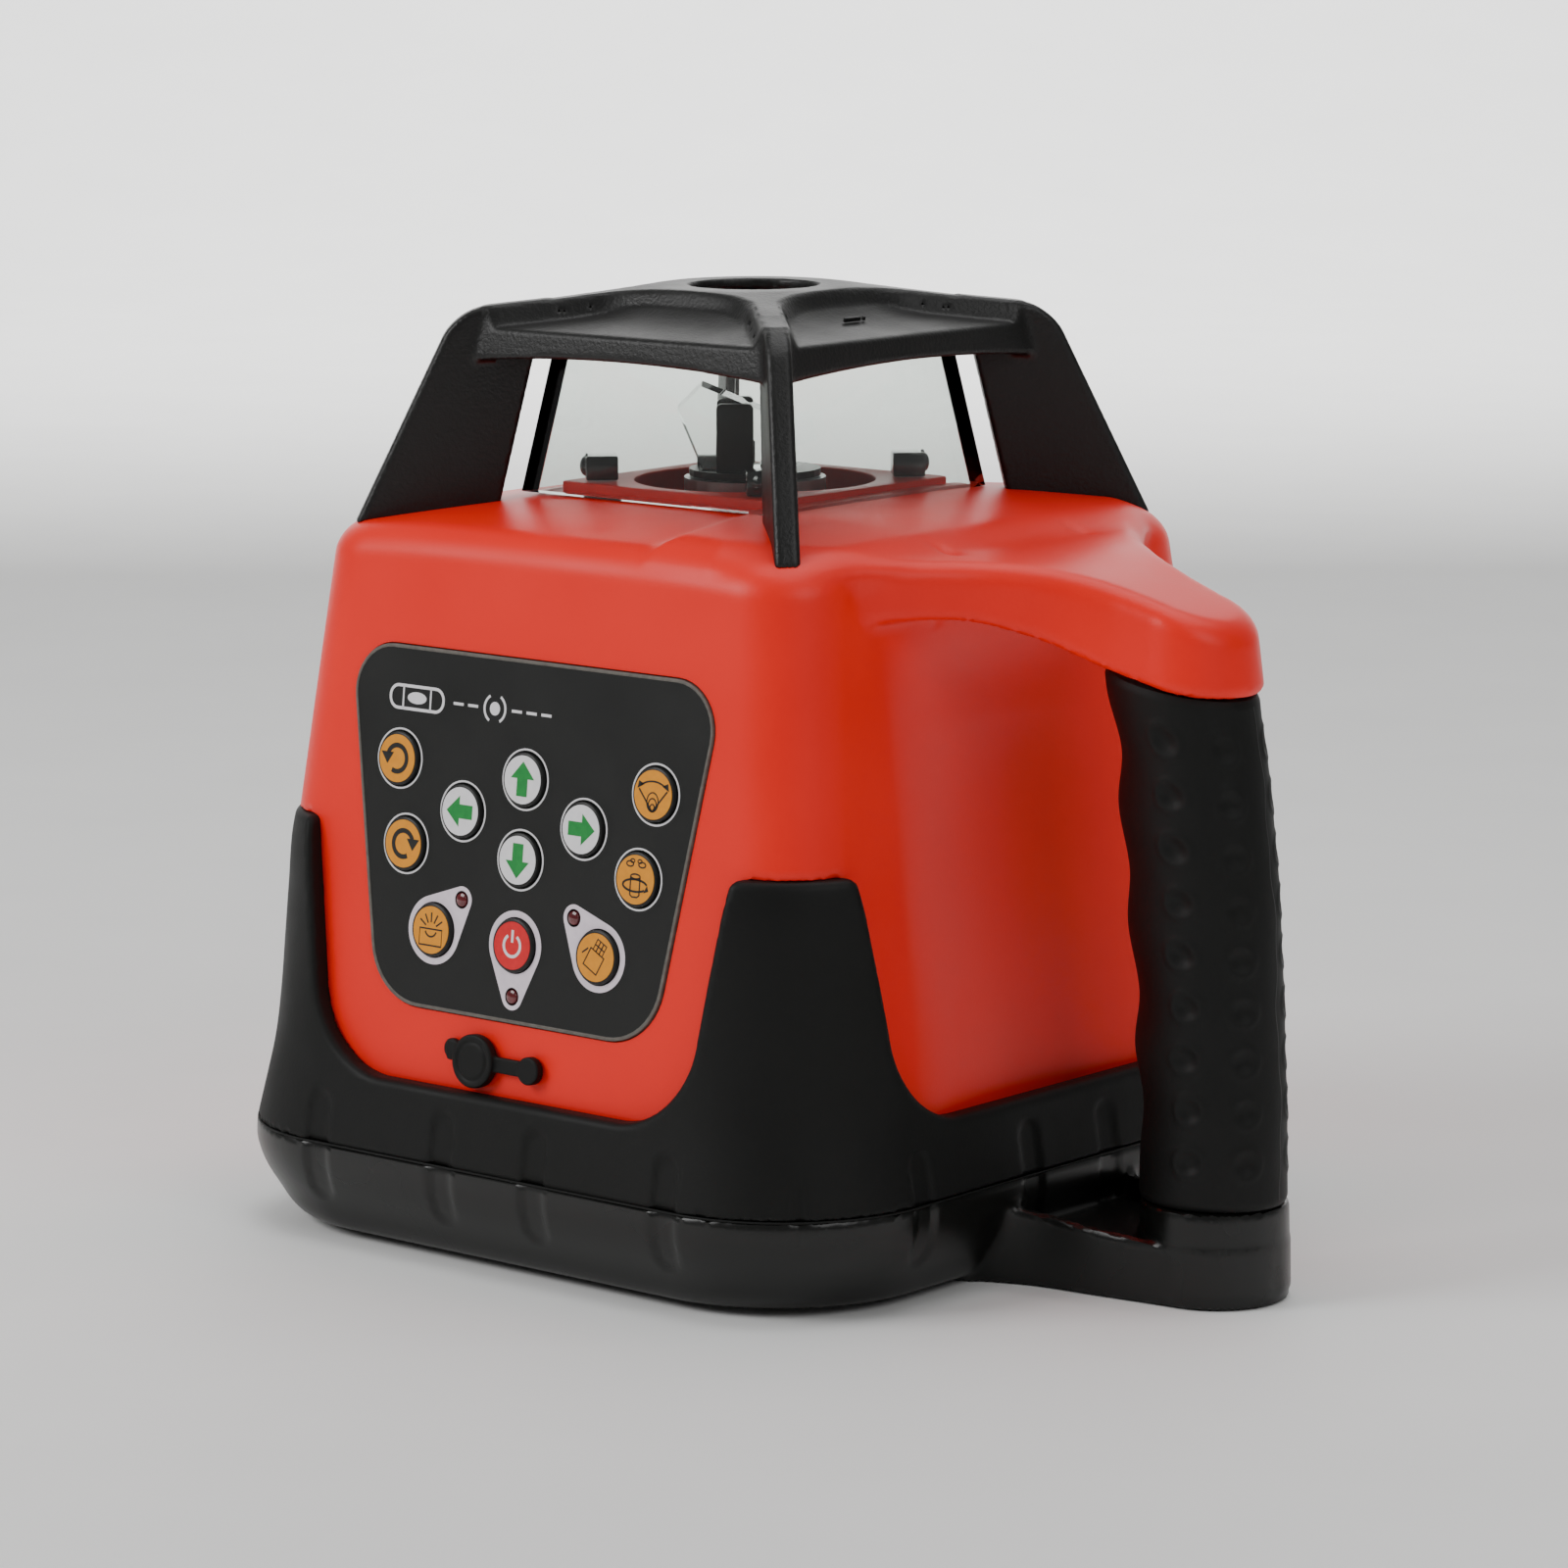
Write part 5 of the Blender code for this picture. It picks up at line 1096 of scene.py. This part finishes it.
def build_charge_cap():
    """Cap, strap and anchor in one rubber moulding."""
    socket = on_panel("charge_socket")
    anchor_radius = 2.7
    strap_width = 3.0
    anchor_x = box_from_axis("cap_anchor")[1].x - anchor_radius - socket.x
    hinge_x = next(j for j in frame["joints"] if j["name"] == "charge_cap_swing")["pos_m"][0]
    hinge_x = (hinge_x - AXIS.x) / MM

    def cap(u, v, w):
        away = np.hypot(u, v)
        disc = meet(away - 5.2, np.abs(w - 1.4) - 1.1, 0.5)
        disc = disc + 0.25 * np.exp(-(((away - 3.7) / 0.35) ** 2)) * (w > 1.4)
        tab = meet(np.hypot(u + 6.3, v - 1.6) - 2.0, np.abs(w - 0.9) - 0.6, 0.35)
        neck = np.maximum(np.maximum(np.abs(u + 4) - 3, np.abs(v - 1.2) - 1.6),
            np.abs(w - 0.9) - 0.55)
        strap = np.maximum(np.abs(v) - strap_width / 2, np.maximum(-u, u - anchor_x))
        strap = meet(strap, np.abs(w - 0.9) - 0.6, 0.3)
        anchor = meet(np.hypot(u - anchor_x, v) - anchor_radius, np.abs(w - 1.25) - 0.95, 0.4)
        plug = np.maximum(away - 2.3, np.abs(w + 0.5) - 1.0)
        flat = fuse(disc, fuse(tab, neck, 0.8), 0.6)
        return fuse(fuse(flat, fuse(strap, anchor, 0.6), 0.6), plug, 0.3)

    mesh = skin("charge_cap_moulding", cap, (-9, -6, -2), (anchor_x + 3, 6, 3), 0.24)
    mesh.transform(Matrix.Translation(Vector((socket.x, socket.y, 0)) * MM))
    mesh.transform(KEYPAD)
    piece = stand("charge_cap_moulding", mesh, RUBBER, None, ["charge_cap", "cap_anchor"],
                  Matrix.Identity(4))
    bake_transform(piece)


# ---------------------------------------- studio
def build_studio():
    """White paper swept up behind the instrument, four soft lights and a little light all round."""
    bm = bmesh.new()
    steps = 24
    bend = [math.pi / 2 * i / steps for i in range(steps + 1)]
    sweep = [(2.0 + 1.5 * math.sin(a), 1.5 - 1.5 * math.cos(a)) for a in bend]
    sweep = [(-3.0, 0.0)] + sweep + [(3.5, 5.0)]
    rows = [[bm.verts.new((side, y, z)) for side in (-6, 6)] for y, z in sweep]
    for lower, upper in zip(rows, rows[1:]):
        bm.faces.new((lower[0], lower[1], upper[1], upper[0]))
    bmesh.ops.rotate(bm, matrix=Matrix.Rotation(math.radians(40), 3, "Z"), verts=bm.verts)
    paper = close(bm, "studio_sweep", 60)
    stand("studio_sweep", paper, PAPER, body=None, place=Matrix.Identity(4))
    world = bpy.data.worlds.new("studio")
    world.use_nodes = True
    fill = world.node_tree.nodes["Background"].inputs
    fill["Color"].default_value = (1, 1, 1, 1)
    fill["Strength"].default_value = 0.22
    bpy.context.scene.world = world
    instrument = Vector((0, 0, 0.08))
    background = Vector((-2.2, 2.6, 0.9))
    for name, place, aim, size, power in (
        ("key_softbox", (-0.75, -1.15, 0.95), instrument, 0.8, 13.0),
        ("side_softbox", (1.25, -0.35, 1.0), instrument, 0.8, 4.5),
        ("top_softbox", (0.0, 0.25, 1.5), instrument, 1.2, 10.0),
        ("backdrop_softbox", (-0.9, 1.1, 1.5), background, 1.2, 90.0),
    ):
        light = bpy.data.lights.new(name, "AREA")
        light.shape = "SQUARE"
        light.size = size
        light.energy = power
        lamp = placed(name, light)
        lamp.location = place
        lamp.rotation_euler = (aim - Vector(place)).to_track_quat("-Z", "Y").to_euler()


def build_camera():
    """A long lens a little above the instrument, turned to show the keypad and the handle."""
    yaw = math.radians(40.19181)
    pitch = math.radians(9.65945)
    roll = math.radians(-0.13511)
    forward = Vector((-math.sin(yaw), math.cos(yaw), 0)) * math.cos(pitch)
    forward.z = -math.sin(pitch)
    level = Vector((math.cos(yaw), math.sin(yaw), 0))
    above = level.cross(forward)
    right = level * math.cos(roll) + above * math.sin(roll)
    up = above * math.cos(roll) - level * math.sin(roll)
    camera = bpy.data.cameras.new("studio_camera")
    camera.sensor_width = 36.0
    camera.lens = 136.574
    holder = placed("studio_camera", camera)
    turn = Matrix((right, up, -forward)).transposed().to_4x4()
    holder.matrix_world = Matrix.Translation((0.7331196, -0.8873362, 0.2839901)) @ turn
    bpy.context.scene.camera = holder


build_housing()
build_base()
build_underside()
build_grip()
build_cage()
build_receivers()
ease_pane_edges()
build_keypad()
build_charge_cap()
build_studio()
build_camera()
